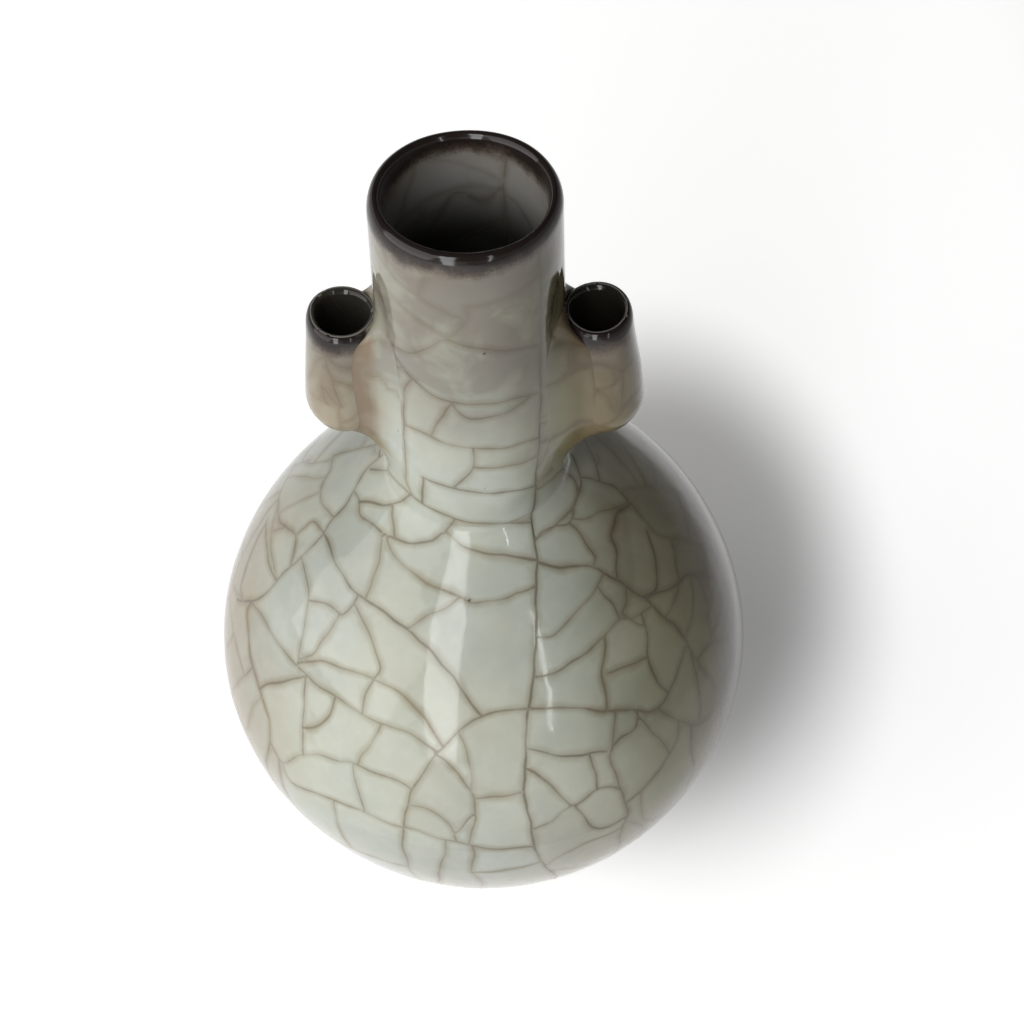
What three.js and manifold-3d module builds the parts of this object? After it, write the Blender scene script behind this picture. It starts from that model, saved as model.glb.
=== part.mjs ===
// Bottle vase with two tubular lugs, a crackle-glazed stoneware arrow vase.
// Millimetres, +Z up. The origin is on the table, under the middle of the foot.
// The front is -Y, and the lugs stand on the neck at -X and +X.
// The vase is built as a potter builds it: thrown sections with level edges, joined by
// thin layers of slip, and lugs that are luted to the neck with coils of soft clay.

import * as THREE from 'three';
import { mergeVertices } from 'three/addons/utils/BufferGeometryUtils.js';
import Module from 'manifold-3d';

// Foot ring, which flares from its seat under the body to its resting edge
const footHeight = 3.8;
const footSeatDiameter = 43.6;
const footFlare = 0.7;
const footWidth = 3.4;
const footChamfer = 0.8;

// Body: a ball that meets the foot at its seat, its fullness an exponent where 2 is an ellipse
const bodyDiameter = 105;
const depthBelowWaist = 51.5;
const riseAboveWaist = 52.8;
const bodyWall = 3.4;
const floorThickness = 3.2;
const outerFullness = 1.91;
const bowlFullness = 2.1;

// Neck, carried by a short collar on the shoulder, and its lip
const collarHeight = 0.2;
const collarBlend = 11;
const neckLength = 67;
const neckBaseDiameter = 34;
const mouthDiameter = 33.4;
const neckWall = 2.8;
const lipOuterRound = 1.6;
const lipOuterDrop = 3;
const lipInnerDrop = 2.4;

// Slip between the sections
const slipThickness = 0.6;

// Lugs: oval tubes with a closed, rounded lower end, splayed a little outwards. They were made
// by hand, and a difference is how much more of a size the right one has than the left one.
// The bite is how far a tube's side is pared away where it seats on the neck.
const lugMouthBelowLip = 27.9;
const lugMouthDifference = 1.8;
const lugBite = 0.9;
const lugLength = 27;
const lugLengthDifference = 1.2;
const lugTopDiameter = 12.9;
const lugBottomDiameter = 14.8;
const lugBottomDifference = 0.8;
const lugBoreDiameter = 8.6;
const lugFloorThickness = 3.8;
const lugOvalness = 1.15;
const lugSplayDegrees = 2.8;
const lugSplayDifference = 1.2;
const lugRimDrop = 2.6;
const lugEndDrop = 6.5;

// Luting coils: clay pressed into the corners between a lug and the neck. The angles, in
// degrees from the line between the two axes, are where a coil ends on the tube and the neck.
// The ends are pressed out thin, within an oval that is set from the neck's axis by its centre.
const coilLength = 36.2;
const coilTopBelowMouth = 0.3;
const coilTubeAngle = 80;
const coilNeckAngle = 39;
const coilProud = 0.5;
const coilTaperCentre = 12;
const coilTaperWidth = 13;
const coilTaperDepth = 14;

// Cut faces keep this clearance
const cutClearance = 0.3;

// Facets
const bodySegments = 60;
const lugSegments = 28;
const bowlSteps = 9;
const shoulderSteps = 14;
const neckSteps = 4;
const lipSteps = 5;
const lugRimSteps = 7;
const lugEndSteps = 5;

const bodyRadius = bodyDiameter / 2;
const footSeatRadius = footSeatDiameter / 2;
const neckBaseRadius = neckBaseDiameter / 2;
const mouthRadius = mouthDiameter / 2;
const lugTopRadius = lugTopDiameter / 2;
const lugBoreRadius = lugBoreDiameter / 2;
const radians = THREE.MathUtils.degToRad;

const wasm = await Module();
wasm.setup();

// Half width of a superellipse of half width a and half height b, at a distance from its middle.
// With a and b exchanged it gives the distance at which a half width is reached.
function roundRadius(a, b, fullness, distance) {
  const share = Math.min(Math.abs(distance) / b, 1);
  return a * (1 - share ** fullness) ** (1 / fullness);
}

const bowlHeight = roundRadius(depthBelowWaist, bodyRadius, outerFullness, footSeatRadius);
const waistHeight = footHeight + bowlHeight;
const neckJointHeight = waistHeight + riseAboveWaist + collarHeight;
const totalHeight = neckJointHeight + neckLength;
const lipFootHeight = totalHeight - lipOuterDrop;
const floorHeight = footHeight + floorThickness;

// The larger of two lengths, with a soft change from one to the other
function softLarger(a, b, blend) {
  const near = Math.max(blend - Math.abs(a - b), 0) / blend;
  return Math.max(a, b) + (near * near * blend) / 4;
}

// Outer radius of the neck, which narrows evenly from the neck joint to the lip
function neckRadius(height) {
  const share = (height - neckJointHeight) / (lipFootHeight - neckJointHeight);
  return THREE.MathUtils.lerp(neckBaseRadius, mouthRadius, Math.min(share, 1));
}

function outerRadius(height) {
  if (height < waistHeight) {
    return roundRadius(bodyRadius, depthBelowWaist, outerFullness, waistHeight - height);
  }
  const ball = roundRadius(bodyRadius, riseAboveWaist, outerFullness, height - waistHeight);
  return softLarger(ball, neckRadius(height), collarBlend);
}

function innerRadius(height) {
  const a = bodyRadius - bodyWall;
  if (height < waistHeight) {
    return roundRadius(a, waistHeight - floorHeight, bowlFullness, waistHeight - height);
  }
  const ball = roundRadius(a, riseAboveWaist - bodyWall, outerFullness, height - waistHeight);
  return softLarger(ball, neckRadius(height) - neckWall, collarBlend);
}

// Evenly spaced points on a radius function between two heights
function wallPoints(radiusAt, fromHeight, toHeight, steps) {
  const points = [];
  for (let i = 0; i <= steps; i += 1) {
    const height = THREE.MathUtils.lerp(fromHeight, toHeight, i / steps);
    points.push(new THREE.Vector2(radiusAt(height), height));
  }
  return points;
}

// Points on an upright ellipse from one angle to another, in degrees
function arcPoints(centreRadius, centreHeight, width, drop, fromDegrees, toDegrees, steps) {
  const points = [];
  for (let i = 0; i <= steps; i += 1) {
    const angle = radians(THREE.MathUtils.lerp(fromDegrees, toDegrees, i / steps));
    const radius = Math.max(centreRadius + width * Math.cos(angle), 0);
    points.push(new THREE.Vector2(radius, centreHeight + drop * Math.sin(angle)));
  }
  return points;
}

// A turned solid about +Z from (radius, height) points, taken anticlockwise round the section
function turned(points, segments) {
  const geometry = new THREE.LatheGeometry(points, segments);
  geometry.rotateX(Math.PI / 2);
  return geometry;
}

function toSolid(geometry) {
  const bare = geometry.clone();
  bare.deleteAttribute('normal');
  bare.deleteAttribute('uv');
  const merged = mergeVertices(bare, 1e-4);
  const mesh = new wasm.Mesh({
    numProp: 3,
    vertProperties: new Float32Array(merged.attributes.position.array),
    triVerts: new Uint32Array(merged.index.array),
  });
  return new wasm.Manifold(mesh);
}

function toGeometry(solid) {
  const mesh = solid.getMesh();
  const geometry = new THREE.BufferGeometry();
  geometry.setAttribute('position', new THREE.BufferAttribute(mesh.vertProperties, 3));
  geometry.setIndex(new THREE.BufferAttribute(mesh.triVerts, 1));
  geometry.computeVertexNormals();
  return geometry;
}

// A closed ring profile is repeated at its end, so that the turned solid closes on itself
function closedRing(points) {
  return [...points, points[0].clone()];
}

// Foot ring: unglazed dark clay on its resting edge
function footRing() {
  const seatHeight = footHeight - slipThickness;
  const restRadius = footSeatRadius + footFlare;
  return closedRing([
    new THREE.Vector2(restRadius - footWidth + footChamfer, 0),
    new THREE.Vector2(restRadius - footChamfer, 0),
    new THREE.Vector2(restRadius, footChamfer),
    new THREE.Vector2(footSeatRadius, seatHeight),
    new THREE.Vector2(footSeatRadius - footWidth, seatHeight),
    new THREE.Vector2(restRadius - footWidth, footChamfer),
  ]);
}

// A flat ring of slip that fills the joint under the given height
function slipRing(innerEdge, outerEdge, topHeight) {
  const underside = topHeight - slipThickness;
  return closedRing([
    new THREE.Vector2(innerEdge, underside),
    new THREE.Vector2(outerEdge, underside),
    new THREE.Vector2(outerEdge, topHeight),
    new THREE.Vector2(innerEdge, topHeight),
  ]);
}

// Points on a bowl's wall from its bottom to its rim, closer together low down, where it turns level
function bowlPoints(radiusAt, bottomHeight, rimHeight) {
  const points = [];
  for (let i = 0; i <= bowlSteps; i += 1) {
    const climb = 1 - Math.cos((Math.PI / 2) * (i / bowlSteps));
    const height = THREE.MathUtils.lerp(bottomHeight, rimHeight, climb);
    points.push(new THREE.Vector2(radiusAt(height), height));
  }
  return points;
}

// Lower body: a thrown bowl with a flat underside inside the foot and a level rim at the waist
function lowerBody() {
  const rim = waistHeight - slipThickness;
  const outer = bowlPoints(outerRadius, footHeight, rim);
  const inner = bowlPoints(innerRadius, floorHeight, rim);
  return [new THREE.Vector2(0, footHeight), ...outer, ...inner.reverse()];
}

// Upper body: the shoulder, drawn in to a short collar that carries the neck
function upperBody() {
  const rim = neckJointHeight - slipThickness;
  const outer = wallPoints(outerRadius, waistHeight, rim, shoulderSteps);
  const inner = wallPoints(innerRadius, waistHeight, rim, shoulderSteps);
  return closedRing([...outer, ...inner.reverse()]);
}

// Neck: a thrown tube with a rounded lip, taller on its outer side than on its bore
function neck() {
  const crest = mouthRadius - lipOuterRound;
  const boreTop = totalHeight - lipInnerDrop;
  const lipInnerRound = crest - innerRadius(boreTop);
  const outerLip = arcPoints(crest, lipFootHeight, lipOuterRound, lipOuterDrop, 0, 90, lipSteps);
  const innerLip = arcPoints(crest, boreTop, lipInnerRound, lipInnerDrop, 90, 180, lipSteps);
  return closedRing([
    ...wallPoints(outerRadius, neckJointHeight, lipFootHeight, neckSteps).slice(0, -1),
    ...outerLip,
    ...innerLip.slice(1),
    ...wallPoints(innerRadius, neckJointHeight, boreTop, neckSteps).slice(0, -1).reverse(),
  ]);
}

// A size of one lug: side is -1 for the left lug and 1 for the right one
function ofLug(side, middle, difference) {
  return middle + (side * difference) / 2;
}

// Lug tube about its own axis, with its mouth at height 0 and grown by the given clearance
function lugProfile(side, grow) {
  const length = ofLug(side, lugLength, lugLengthDifference);
  const topRadius = lugTopRadius + grow;
  const bottomRadius = ofLug(side, lugBottomDiameter, lugBottomDifference) / 2 + grow;
  const lowest = -length - grow;
  const end = arcPoints(0, lowest + lugEndDrop, bottomRadius, lugEndDrop, -90, 0, lugEndSteps);
  if (grow > 0) {
    return [...end, new THREE.Vector2(topRadius, grow), new THREE.Vector2(0, grow)];
  }
  const halfWall = (lugTopRadius - lugBoreRadius) / 2;
  const crest = lugBoreRadius + halfWall;
  const rim = arcPoints(crest, -lugRimDrop, halfWall, lugRimDrop, 0, 180, lugRimSteps);
  const wellHeight = lowest + lugFloorThickness + lugBoreRadius;
  const well = arcPoints(0, wellHeight, lugBoreRadius, lugBoreRadius, 0, -90, lugEndSteps);
  return [...end, ...rim, ...well];
}

// Height of a lug's mouth
function lugMouth(side) {
  return totalHeight - ofLug(side, lugMouthBelowLip, lugMouthDifference);
}

// Distance of a lug's mouth from the neck's axis
function lugReach(side) {
  return neckRadius(lugMouth(side)) + lugTopRadius - lugBite;
}

// Puts a lug, or its grown copy, on the right of the neck at the height of the given side
function placeLug(geometry, side) {
  geometry.scale(1, lugOvalness, 1);
  geometry.rotateY(-radians(ofLug(side, lugSplayDegrees, lugSplayDifference)));
  geometry.translate(lugReach(side), 0, lugMouth(side));
  return geometry;
}

// The filled outside of shoulder and neck, grown by the clearance, which cuts the lugs and coils
function seatProfile() {
  const grown = (height) => outerRadius(height) + cutClearance;
  return [
    new THREE.Vector2(0, waistHeight),
    ...wallPoints(grown, waistHeight, neckJointHeight, shoulderSteps),
    new THREE.Vector2(grown(totalHeight), totalHeight),
    new THREE.Vector2(0, totalHeight),
  ];
}

const seatSolid = toSolid(turned(seatProfile(), bodySegments));

// Lug tube, pared away where it seats on the neck
function lugTube(side) {
  const tube = toSolid(placeLug(turned(lugProfile(side, 0), lugSegments), side));
  return toGeometry(tube.subtract(seatSolid).scale([side, 1, 1]));
}

// Plan of a luting coil in the right rear corner: its flat outer face runs from tube to neck
function coilOutline(side) {
  const tubeAngle = radians(180 - coilTubeAngle);
  const neckAngle = radians(coilNeckAngle);
  const tubeEdge = lugTopRadius + cutClearance + coilProud;
  const neckEdge = neckBaseRadius + cutClearance + coilProud;
  return new THREE.Shape([
    new THREE.Vector2(
      lugReach(side) + tubeEdge * Math.cos(tubeAngle),
      tubeEdge * lugOvalness * Math.sin(tubeAngle),
    ),
    new THREE.Vector2(neckEdge * Math.cos(neckAngle), neckEdge * Math.sin(neckAngle)),
    new THREE.Vector2(neckBaseRadius * Math.cos(neckAngle), 0),
    new THREE.Vector2(lugReach(side), 0),
  ]);
}

// A luting coil, its ends pressed out thin: face is -1 for the front corner and 1 for the rear one
function lutingCoil(side, face) {
  const lowEnd = lugMouth(side) - coilTopBelowMouth - coilLength;
  const slab = new THREE.ExtrudeGeometry(coilOutline(side), { depth: coilLength, bevelEnabled: false });
  slab.translate(0, 0, lowEnd);
  const taper = new THREE.SphereGeometry(1, lugSegments, lugSegments / 2);
  taper.rotateX(Math.PI / 2);
  taper.scale(coilTaperWidth, coilTaperDepth, coilLength / 2);
  taper.translate(coilTaperCentre, 0, lowEnd + coilLength / 2);
  const grownTube = placeLug(turned(lugProfile(side, cutClearance), lugSegments), side);
  const coil = toSolid(slab)
    .intersect(toSolid(taper))
    .subtract(toSolid(grownTube))
    .subtract(seatSolid);
  return toGeometry(coil.scale([side, face, 1]));
}

// Finishes: the grey-green glaze, the dark clay that shows at the foot, and the slip
const celadonGlaze = { color: 0xb9bdae, roughness: 0.15, metalness: 0 };
const ironClay = { color: 0x3a2a22, roughness: 0.85, metalness: 0 };
const joiningSlip = { color: 0x7b6a5c, roughness: 0.8, metalness: 0 };

const vase = new THREE.Group();
vase.name = 'bottle_vase';

function addPart(name, geometry, finish) {
  const mesh = new THREE.Mesh(geometry, new THREE.MeshStandardMaterial(finish));
  mesh.name = name;
  vase.add(mesh);
}

// The slip under a section, as wide as the wall it joins
function addSlipJoint(name, innerEdge, outerEdge, topHeight) {
  addPart(name, turned(slipRing(innerEdge, outerEdge, topHeight), bodySegments), joiningSlip);
}

const waistRim = waistHeight - slipThickness;
const neckRim = neckJointHeight - slipThickness;

addPart('foot_ring', turned(footRing(), bodySegments), ironClay);
addSlipJoint('foot_slip_joint', footSeatRadius - footWidth, footSeatRadius, footHeight);
addPart('lower_body', turned(lowerBody(), bodySegments), celadonGlaze);
addSlipJoint('waist_slip_joint', innerRadius(waistRim), outerRadius(waistRim), waistHeight);
addPart('upper_body', turned(upperBody(), bodySegments), celadonGlaze);
addSlipJoint('neck_slip_joint', innerRadius(neckRim), outerRadius(neckRim), neckJointHeight);
addPart('neck', turned(neck(), bodySegments), celadonGlaze);

for (const [sideName, side] of [['left', -1], ['right', 1]]) {
  addPart(`${sideName}_lug_tube`, lugTube(side), celadonGlaze);
  for (const [faceName, face] of [['front', -1], ['rear', 1]]) {
    addPart(`${sideName}_lug_${faceName}_luting_coil`, lutingCoil(side, face), celadonGlaze);
  }
}

export default vase;
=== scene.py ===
# Bottle vase with two tubular lugs, in crackled grey-green glaze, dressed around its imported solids.
# Metres, +Z up, the front at -Y. Sizes of the pot are written in millimetres and placed with MM.
import math
import bpy
import numpy as np
from mathutils import Matrix, Vector, kdtree
from mathutils.geometry import delaunay_2d_cdt


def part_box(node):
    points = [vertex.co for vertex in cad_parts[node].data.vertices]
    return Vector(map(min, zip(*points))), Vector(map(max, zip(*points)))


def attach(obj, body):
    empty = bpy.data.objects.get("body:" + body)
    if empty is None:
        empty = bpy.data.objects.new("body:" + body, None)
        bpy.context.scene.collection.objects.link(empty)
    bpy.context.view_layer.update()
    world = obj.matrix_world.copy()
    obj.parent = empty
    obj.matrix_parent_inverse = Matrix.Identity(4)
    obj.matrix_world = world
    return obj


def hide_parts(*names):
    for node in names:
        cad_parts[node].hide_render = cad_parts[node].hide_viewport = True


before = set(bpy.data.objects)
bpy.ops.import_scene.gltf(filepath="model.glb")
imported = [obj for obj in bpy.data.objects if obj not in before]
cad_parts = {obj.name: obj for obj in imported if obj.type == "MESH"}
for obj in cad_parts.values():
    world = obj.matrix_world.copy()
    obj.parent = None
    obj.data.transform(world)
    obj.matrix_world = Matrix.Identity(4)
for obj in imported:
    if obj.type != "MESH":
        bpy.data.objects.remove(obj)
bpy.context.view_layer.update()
MM = 0.001

# Camera: the place and lens that the outline of body, neck and mouth gives for the photograph.
# It looks down on the vase from the front and leans a little to one side.
camera_place = Vector((0, -0.3218, 0.4648))
camera_pitch = math.radians(49.584)
camera_yaw = math.radians(1.14)
camera_roll = math.radians(-1.633)
focal_pixels = 2589.8
photo_pixels = 1024

forward = Vector((math.sin(camera_yaw) * math.cos(camera_pitch),
                  math.cos(camera_yaw) * math.cos(camera_pitch),
                  -math.sin(camera_pitch)))
level_right = forward.cross(Vector((0, 0, 1))).normalized()
level_up = level_right.cross(forward)
right = level_right * math.cos(camera_roll) + level_up * math.sin(camera_roll)
up = level_up * math.cos(camera_roll) - level_right * math.sin(camera_roll)
camera_data = bpy.data.cameras.new("photo_camera")
camera_data.sensor_width = 36
camera_data.lens = focal_pixels * camera_data.sensor_width / photo_pixels
camera_data.clip_start = 0.01
camera = bpy.data.objects.new("photo_camera", camera_data)
camera.matrix_world = Matrix((right, up, -forward)).transposed().to_4x4()
camera.location = camera_place
bpy.context.scene.collection.objects.link(camera)
bpy.context.scene.camera = camera
bpy.context.scene.view_settings.view_transform = "Standard"

# Studio: a broad soft box on the left is the main light, and a tall window beside the camera and
# a narrow strip show in the glaze. The floor is white paper that turns up into a wall far away.
def soft_box(name, azimuth, elevation, distance, width, height, power, colour=(1, 1, 1), lean=0):
    # a lit rectangle that faces the vase, its azimuth measured from the front
    turn = math.radians(azimuth)
    climb = math.radians(elevation)
    target = Vector((0, 0, 0.07))
    away = Vector((math.sin(turn) * math.cos(climb), -math.cos(turn) * math.cos(climb), math.sin(climb)))
    data = bpy.data.lights.new(name, "AREA")
    data.shape = "RECTANGLE"
    data.size = width
    data.size_y = height
    data.energy = power
    data.color = colour
    lamp = bpy.data.objects.new(name, data)
    lamp.location = target + away * distance
    facing = away.to_track_quat("Z", "Y").to_matrix() @ Matrix.Rotation(math.radians(lean), 3, "Z")
    lamp.rotation_euler = facing.to_euler()
    bpy.context.scene.collection.objects.link(lamp)


soft_box("left_soft_box", azimuth=-68, elevation=30, distance=1.8, width=2.1, height=1.8, power=21,
         colour=(1, 0.985, 0.96))
soft_box("tall_window", azimuth=-20.5, elevation=29, distance=1.6, width=0.38, height=1.96, power=13.5,
         colour=(0.96, 0.985, 1), lean=5)
soft_box("narrow_strip", azimuth=28.5, elevation=28, distance=1.6, width=0.045, height=1.4, power=1.6,
         lean=-8)

world = bpy.data.worlds.new("dim_room")
bpy.context.scene.world = world
world.use_nodes = True
room_light = world.node_tree.nodes["Background"]
room_light.inputs["Color"].default_value = (1, 0.96, 0.88, 1)
room_light.inputs["Strength"].default_value = 0.035

bpy.ops.object.select_all(action="DESELECT")
floor_radius = 6.0
wall_rise = 2.6
bpy.ops.mesh.primitive_circle_add(vertices=96, radius=floor_radius, fill_type="NGON", location=(0, 0, 0))
floor = bpy.context.object
floor.name = "studio_floor"
bpy.ops.object.mode_set(mode="EDIT")
bpy.ops.mesh.select_mode(type="EDGE")
bpy.ops.mesh.select_all(action="SELECT")
bpy.ops.mesh.region_to_loop()
for climb, spread in ((0.15, 1.05), (0.35, 1.03), (wall_rise - 0.5, 1.01)):
    bpy.ops.mesh.extrude_region_move(TRANSFORM_OT_translate={"value": (0, 0, climb)})
    bpy.ops.transform.resize(value=(spread, spread, 1), center_override=(0, 0, 0))
bpy.ops.object.mode_set(mode="OBJECT")
bpy.ops.object.shade_smooth_by_angle(angle=math.radians(40))


class Wiring:
    # short ways to add and join the nodes of one tree
    def __init__(self, tree):
        self.tree = tree

    def set_input(self, socket, value):
        if isinstance(value, bpy.types.NodeSocket):
            self.tree.links.new(value, socket)
        else:
            socket.default_value = value

    def node(self, kind, values, **settings):
        node = self.tree.nodes.new(kind)
        for setting, choice in settings.items():
            setattr(node, setting, choice)
        for label, value in values.items():
            self.set_input(node.inputs[label], value)
        return node.outputs

    def place(self):
        return self.node("ShaderNodeTexCoord", {})["Object"]

    def split(self, vector):
        return self.node("ShaderNodeSeparateXYZ", {"Vector": vector})

    def math(self, operation, *values):
        return self.node("ShaderNodeMath", dict(enumerate(values)), operation=operation)["Value"]

    def vector(self, operation, *values):
        # a vector operation that gives a number: a length or a distance
        return self.node("ShaderNodeVectorMath", dict(enumerate(values)), operation=operation)["Value"]

    def stretch(self, vector, scales):
        return self.node("ShaderNodeVectorMath", {0: vector, 1: scales}, operation="MULTIPLY")["Vector"]

    def ramp(self, value, low, high, to_low=0.0, to_high=1.0, kind="SMOOTHSTEP"):
        values = {"Value": value, "From Min": low, "From Max": high, "To Min": to_low, "To Max": to_high}
        return self.node("ShaderNodeMapRange", values, interpolation_type=kind)["Result"]

    def noise(self, vector, scale, detail=2.0, roughness=0.5, distortion=0.0):
        values = {"Vector": vector, "Scale": scale, "Detail": detail, "Roughness": roughness,
                  "Distortion": distortion}
        return self.node("ShaderNodeTexNoise", values)["Fac"]

    def cells(self, vector, scale):
        return self.node("ShaderNodeTexVoronoi", {"Vector": vector, "Scale": scale})["Distance"]

    def mix(self, share, a, b, blend="MIX"):
        values = {"Factor": share, "A": a, "B": b}
        return self.node("ShaderNodeMix", values, data_type="RGBA", blend_type=blend)["Result"]

    def bump(self, height, strength, distance):
        values = {"Height": height, "Strength": strength, "Distance": distance}
        return self.node("ShaderNodeBump", values)["Normal"]

    def attribute(self, label):
        return self.node("ShaderNodeAttribute", {}, attribute_name=label)["Fac"]


paper = bpy.data.materials.new("white_paper")
paper.use_nodes = True
tree = paper.node_tree
w = Wiring(tree)
sheet = tree.nodes["Principled BSDF"]
sheet.inputs["Base Color"].default_value = (0.66, 0.66, 0.66, 1)
sheet.inputs["Roughness"].default_value = 0.9
sheet.inputs["Specular IOR Level"].default_value = 0.1
# painted shadow and shade: the paper's own glow is low where the vase throws its shadow, full round that, and
# less far away and off to the right
place = w.place()
from_shadow = w.vector("DISTANCE", w.stretch(place, (1, 0.62, 1)), (0.042, 0.034, 0))
glow = w.ramp(from_shadow, 0.027, 0.058, 0.19, 0.73)
glow = w.math("MULTIPLY", glow, w.ramp(w.vector("LENGTH", place), 0.32, 1.4, 1.0, 0.85))
glow = w.math("MULTIPLY", glow, w.ramp(w.split(place)["X"], 0.14, 0.26, 1.0, 0.4))
lift = w.node("ShaderNodeEmission", {"Color": (1, 1, 1, 1), "Strength": glow})["Emission"]
seen = w.node("ShaderNodeLightPath", {})
seen_at_all = w.math("MAXIMUM", seen["Is Camera Ray"], seen["Is Glossy Ray"])
seen_at_all = w.math("MAXIMUM", seen_at_all, seen["Is Transmission Ray"])
lit = w.node("ShaderNodeAddShader", {0: sheet.outputs["BSDF"], 1: lift})["Shader"]
choose = w.node("ShaderNodeMixShader", {"Fac": seen_at_all, 1: sheet.outputs["BSDF"], 2: lit})["Shader"]
w.set_input(tree.nodes["Material Output"].inputs["Surface"], choose)
floor.data.materials.append(paper)

# Foot ring: a low ring of iron-rich stoneware, turned on the wheel. Its resting edge is wiped
# clean of glaze and fires dark brown, and the glaze stops in a soft line above it.
foot_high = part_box("foot_ring")[1]
foot_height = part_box("lower_body")[0].z / MM
foot_joint = foot_high.z / MM
seat_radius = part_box("foot_slip_joint")[1].x / MM
rest_radius = foot_high.x / MM
foot_width = 3.4
foot_edge = 0.8
glaze_over_joint = 0.8
ring_points = 160


def pull_ring(section):
    # draws the chosen ring of edges on through the (radius, height) places of a turned section
    for (from_radius, from_height), (radius, height) in zip(section, section[1:]):
        bpy.ops.mesh.extrude_region_move(
            TRANSFORM_OT_translate={"value": (0, 0, (height - from_height) * MM)})
        share = radius / from_radius
        bpy.ops.transform.resize(value=(share, share, 1), center_override=(0, 0, 0))


def choose_open_edges(piece, lowest=-1000.0, highest=1000.0):
    # picks the edges that have a face on one side only, between two heights in mm
    bpy.ops.object.mode_set(mode="OBJECT")
    mesh = piece.data
    counts = {}
    for face in mesh.polygons:
        for key in face.edge_keys:
            counts[key] = counts.get(key, 0) + 1
    for part in (mesh.polygons, mesh.edges, mesh.vertices):
        for item in part:
            item.select = False
    for edge in mesh.edges:
        ends = [mesh.vertices[i] for i in edge.vertices]
        open_edge = counts.get(tuple(sorted(edge.vertices)), 0) == 1
        if open_edge and all(lowest < end.co.z / MM < highest for end in ends):
            edge.select = True
            for end in ends:
                end.select = True
    bpy.ops.object.mode_set(mode="EDIT")
    bpy.ops.mesh.select_mode(type="EDGE")


def turned_ring(name, section):
    # turns a closed section about the vase's axis
    bpy.ops.object.select_all(action="DESELECT")
    radius, height = section[0]
    bpy.ops.mesh.primitive_circle_add(vertices=ring_points, radius=radius * MM, location=(0, 0, height * MM))
    piece = bpy.context.object
    piece.name = name
    bpy.ops.object.transform_apply(location=True, rotation=True, scale=True)
    bpy.ops.object.mode_set(mode="EDIT")
    bpy.ops.mesh.select_all(action="SELECT")
    pull_ring(section)
    choose_open_edges(piece)
    bpy.ops.mesh.bridge_edge_loops()
    bpy.ops.mesh.select_all(action="SELECT")
    bpy.ops.mesh.normals_make_consistent(inside=False)
    bpy.ops.object.mode_set(mode="OBJECT")
    bpy.ops.object.shade_smooth_by_angle(angle=math.radians(40))
    return piece


foot = turned_ring("foot_ring_fired", [
    (rest_radius - foot_width + foot_edge + 0.25, 0.0),
    (rest_radius - foot_edge - 0.25, 0.0),
    (rest_radius - 0.35, 0.3),
    (rest_radius - 0.03, foot_edge),
    (rest_radius - 0.25, 1.9),
    (seat_radius, foot_joint),
    (seat_radius - 0.02, foot_height - 0.02),
    (seat_radius - glaze_over_joint, foot_height - 0.02),
    (seat_radius - glaze_over_joint, foot_joint),
    (seat_radius - foot_width, foot_joint),
    (rest_radius - foot_width + 0.02, foot_edge),
    (rest_radius - foot_width + 0.3, 0.25),
])
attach(foot, "root")
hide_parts("foot_ring")

glaze_line = 0.0017
glaze_fade = 0.0006
glaze_colour_on_foot = (0.36, 0.35, 0.29, 1)
clay = bpy.data.materials.new("iron_foot_clay")
clay.use_nodes = True
w = Wiring(clay.node_tree)
place = w.place()
grain = w.noise(place, 2600, 5)
grain_share = w.ramp(grain, 0.3, 0.72, kind="LINEAR")
clay_colour = w.mix(grain_share, (0.018, 0.011, 0.008, 1), (0.085, 0.05, 0.034, 1))
drip_edge = w.math("MULTIPLY_ADD", w.noise(place, 120), 0.0012, w.split(place)["Z"])
from_axis = w.vector("LENGTH", w.stretch(place, (1, 1, 0)))
glaze_here = w.math("MULTIPLY", w.ramp(drip_edge, glaze_line, glaze_line + glaze_fade, kind="LINEAR"),
                    w.math("GREATER_THAN", from_axis, (seat_radius - 1.2) * MM))
body_shader = clay.node_tree.nodes["Principled BSDF"]
w.set_input(body_shader.inputs["Base Color"], w.mix(glaze_here, clay_colour, glaze_colour_on_foot))
w.set_input(body_shader.inputs["Roughness"], w.ramp(glaze_here, 0, 1, 0.82, 0.14, kind="LINEAR"))
w.set_input(body_shader.inputs["Normal"], w.bump(grain, 0.35, 0.0001))
foot.data.materials.append(clay)

# Slip joints: rings of fired slip between the thrown sections. The glaze runs over the joints
# outside, so each ring lies in a rebate behind it and only shows on the inside of the pot.
slip = bpy.data.materials.new("joining_slip")
slip.use_nodes = True
w = Wiring(slip.node_tree)
speck = w.noise(w.place(), 1400, 4)
body_shader = slip.node_tree.nodes["Principled BSDF"]
body_shader.inputs["Roughness"].default_value = 0.8
slip_colour = w.mix(speck, (0.12, 0.085, 0.06, 1), (0.28, 0.22, 0.165, 1))
w.set_input(body_shader.inputs["Base Color"], slip_colour)
w.set_input(body_shader.inputs["Normal"], w.bump(speck, 0.4, 0.0001))

slip_play = 0.03
slip_widths = {"foot_slip_joint": 3.4, "waist_slip_joint": 3.4, "neck_slip_joint": 2.85}
squeezed_out_top = 0.12
squeezed_out_middle = 0.3
for joint, slip_width in slip_widths.items():
    low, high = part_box(joint)
    outside = high.x / MM - glaze_over_joint - slip_play
    inside = high.x / MM - slip_width
    ring = turned_ring(joint + "_fired", [
        (inside, low.z / MM + slip_play),
        (outside, low.z / MM + slip_play),
        (outside, high.z / MM - slip_play),
        (inside - squeezed_out_top, high.z / MM - slip_play),
        (inside - squeezed_out_middle, (low.z + high.z) / 2 / MM),
    ])
    ring.data.materials.append(slip)
    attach(ring, "root")
    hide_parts(joint)

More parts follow.
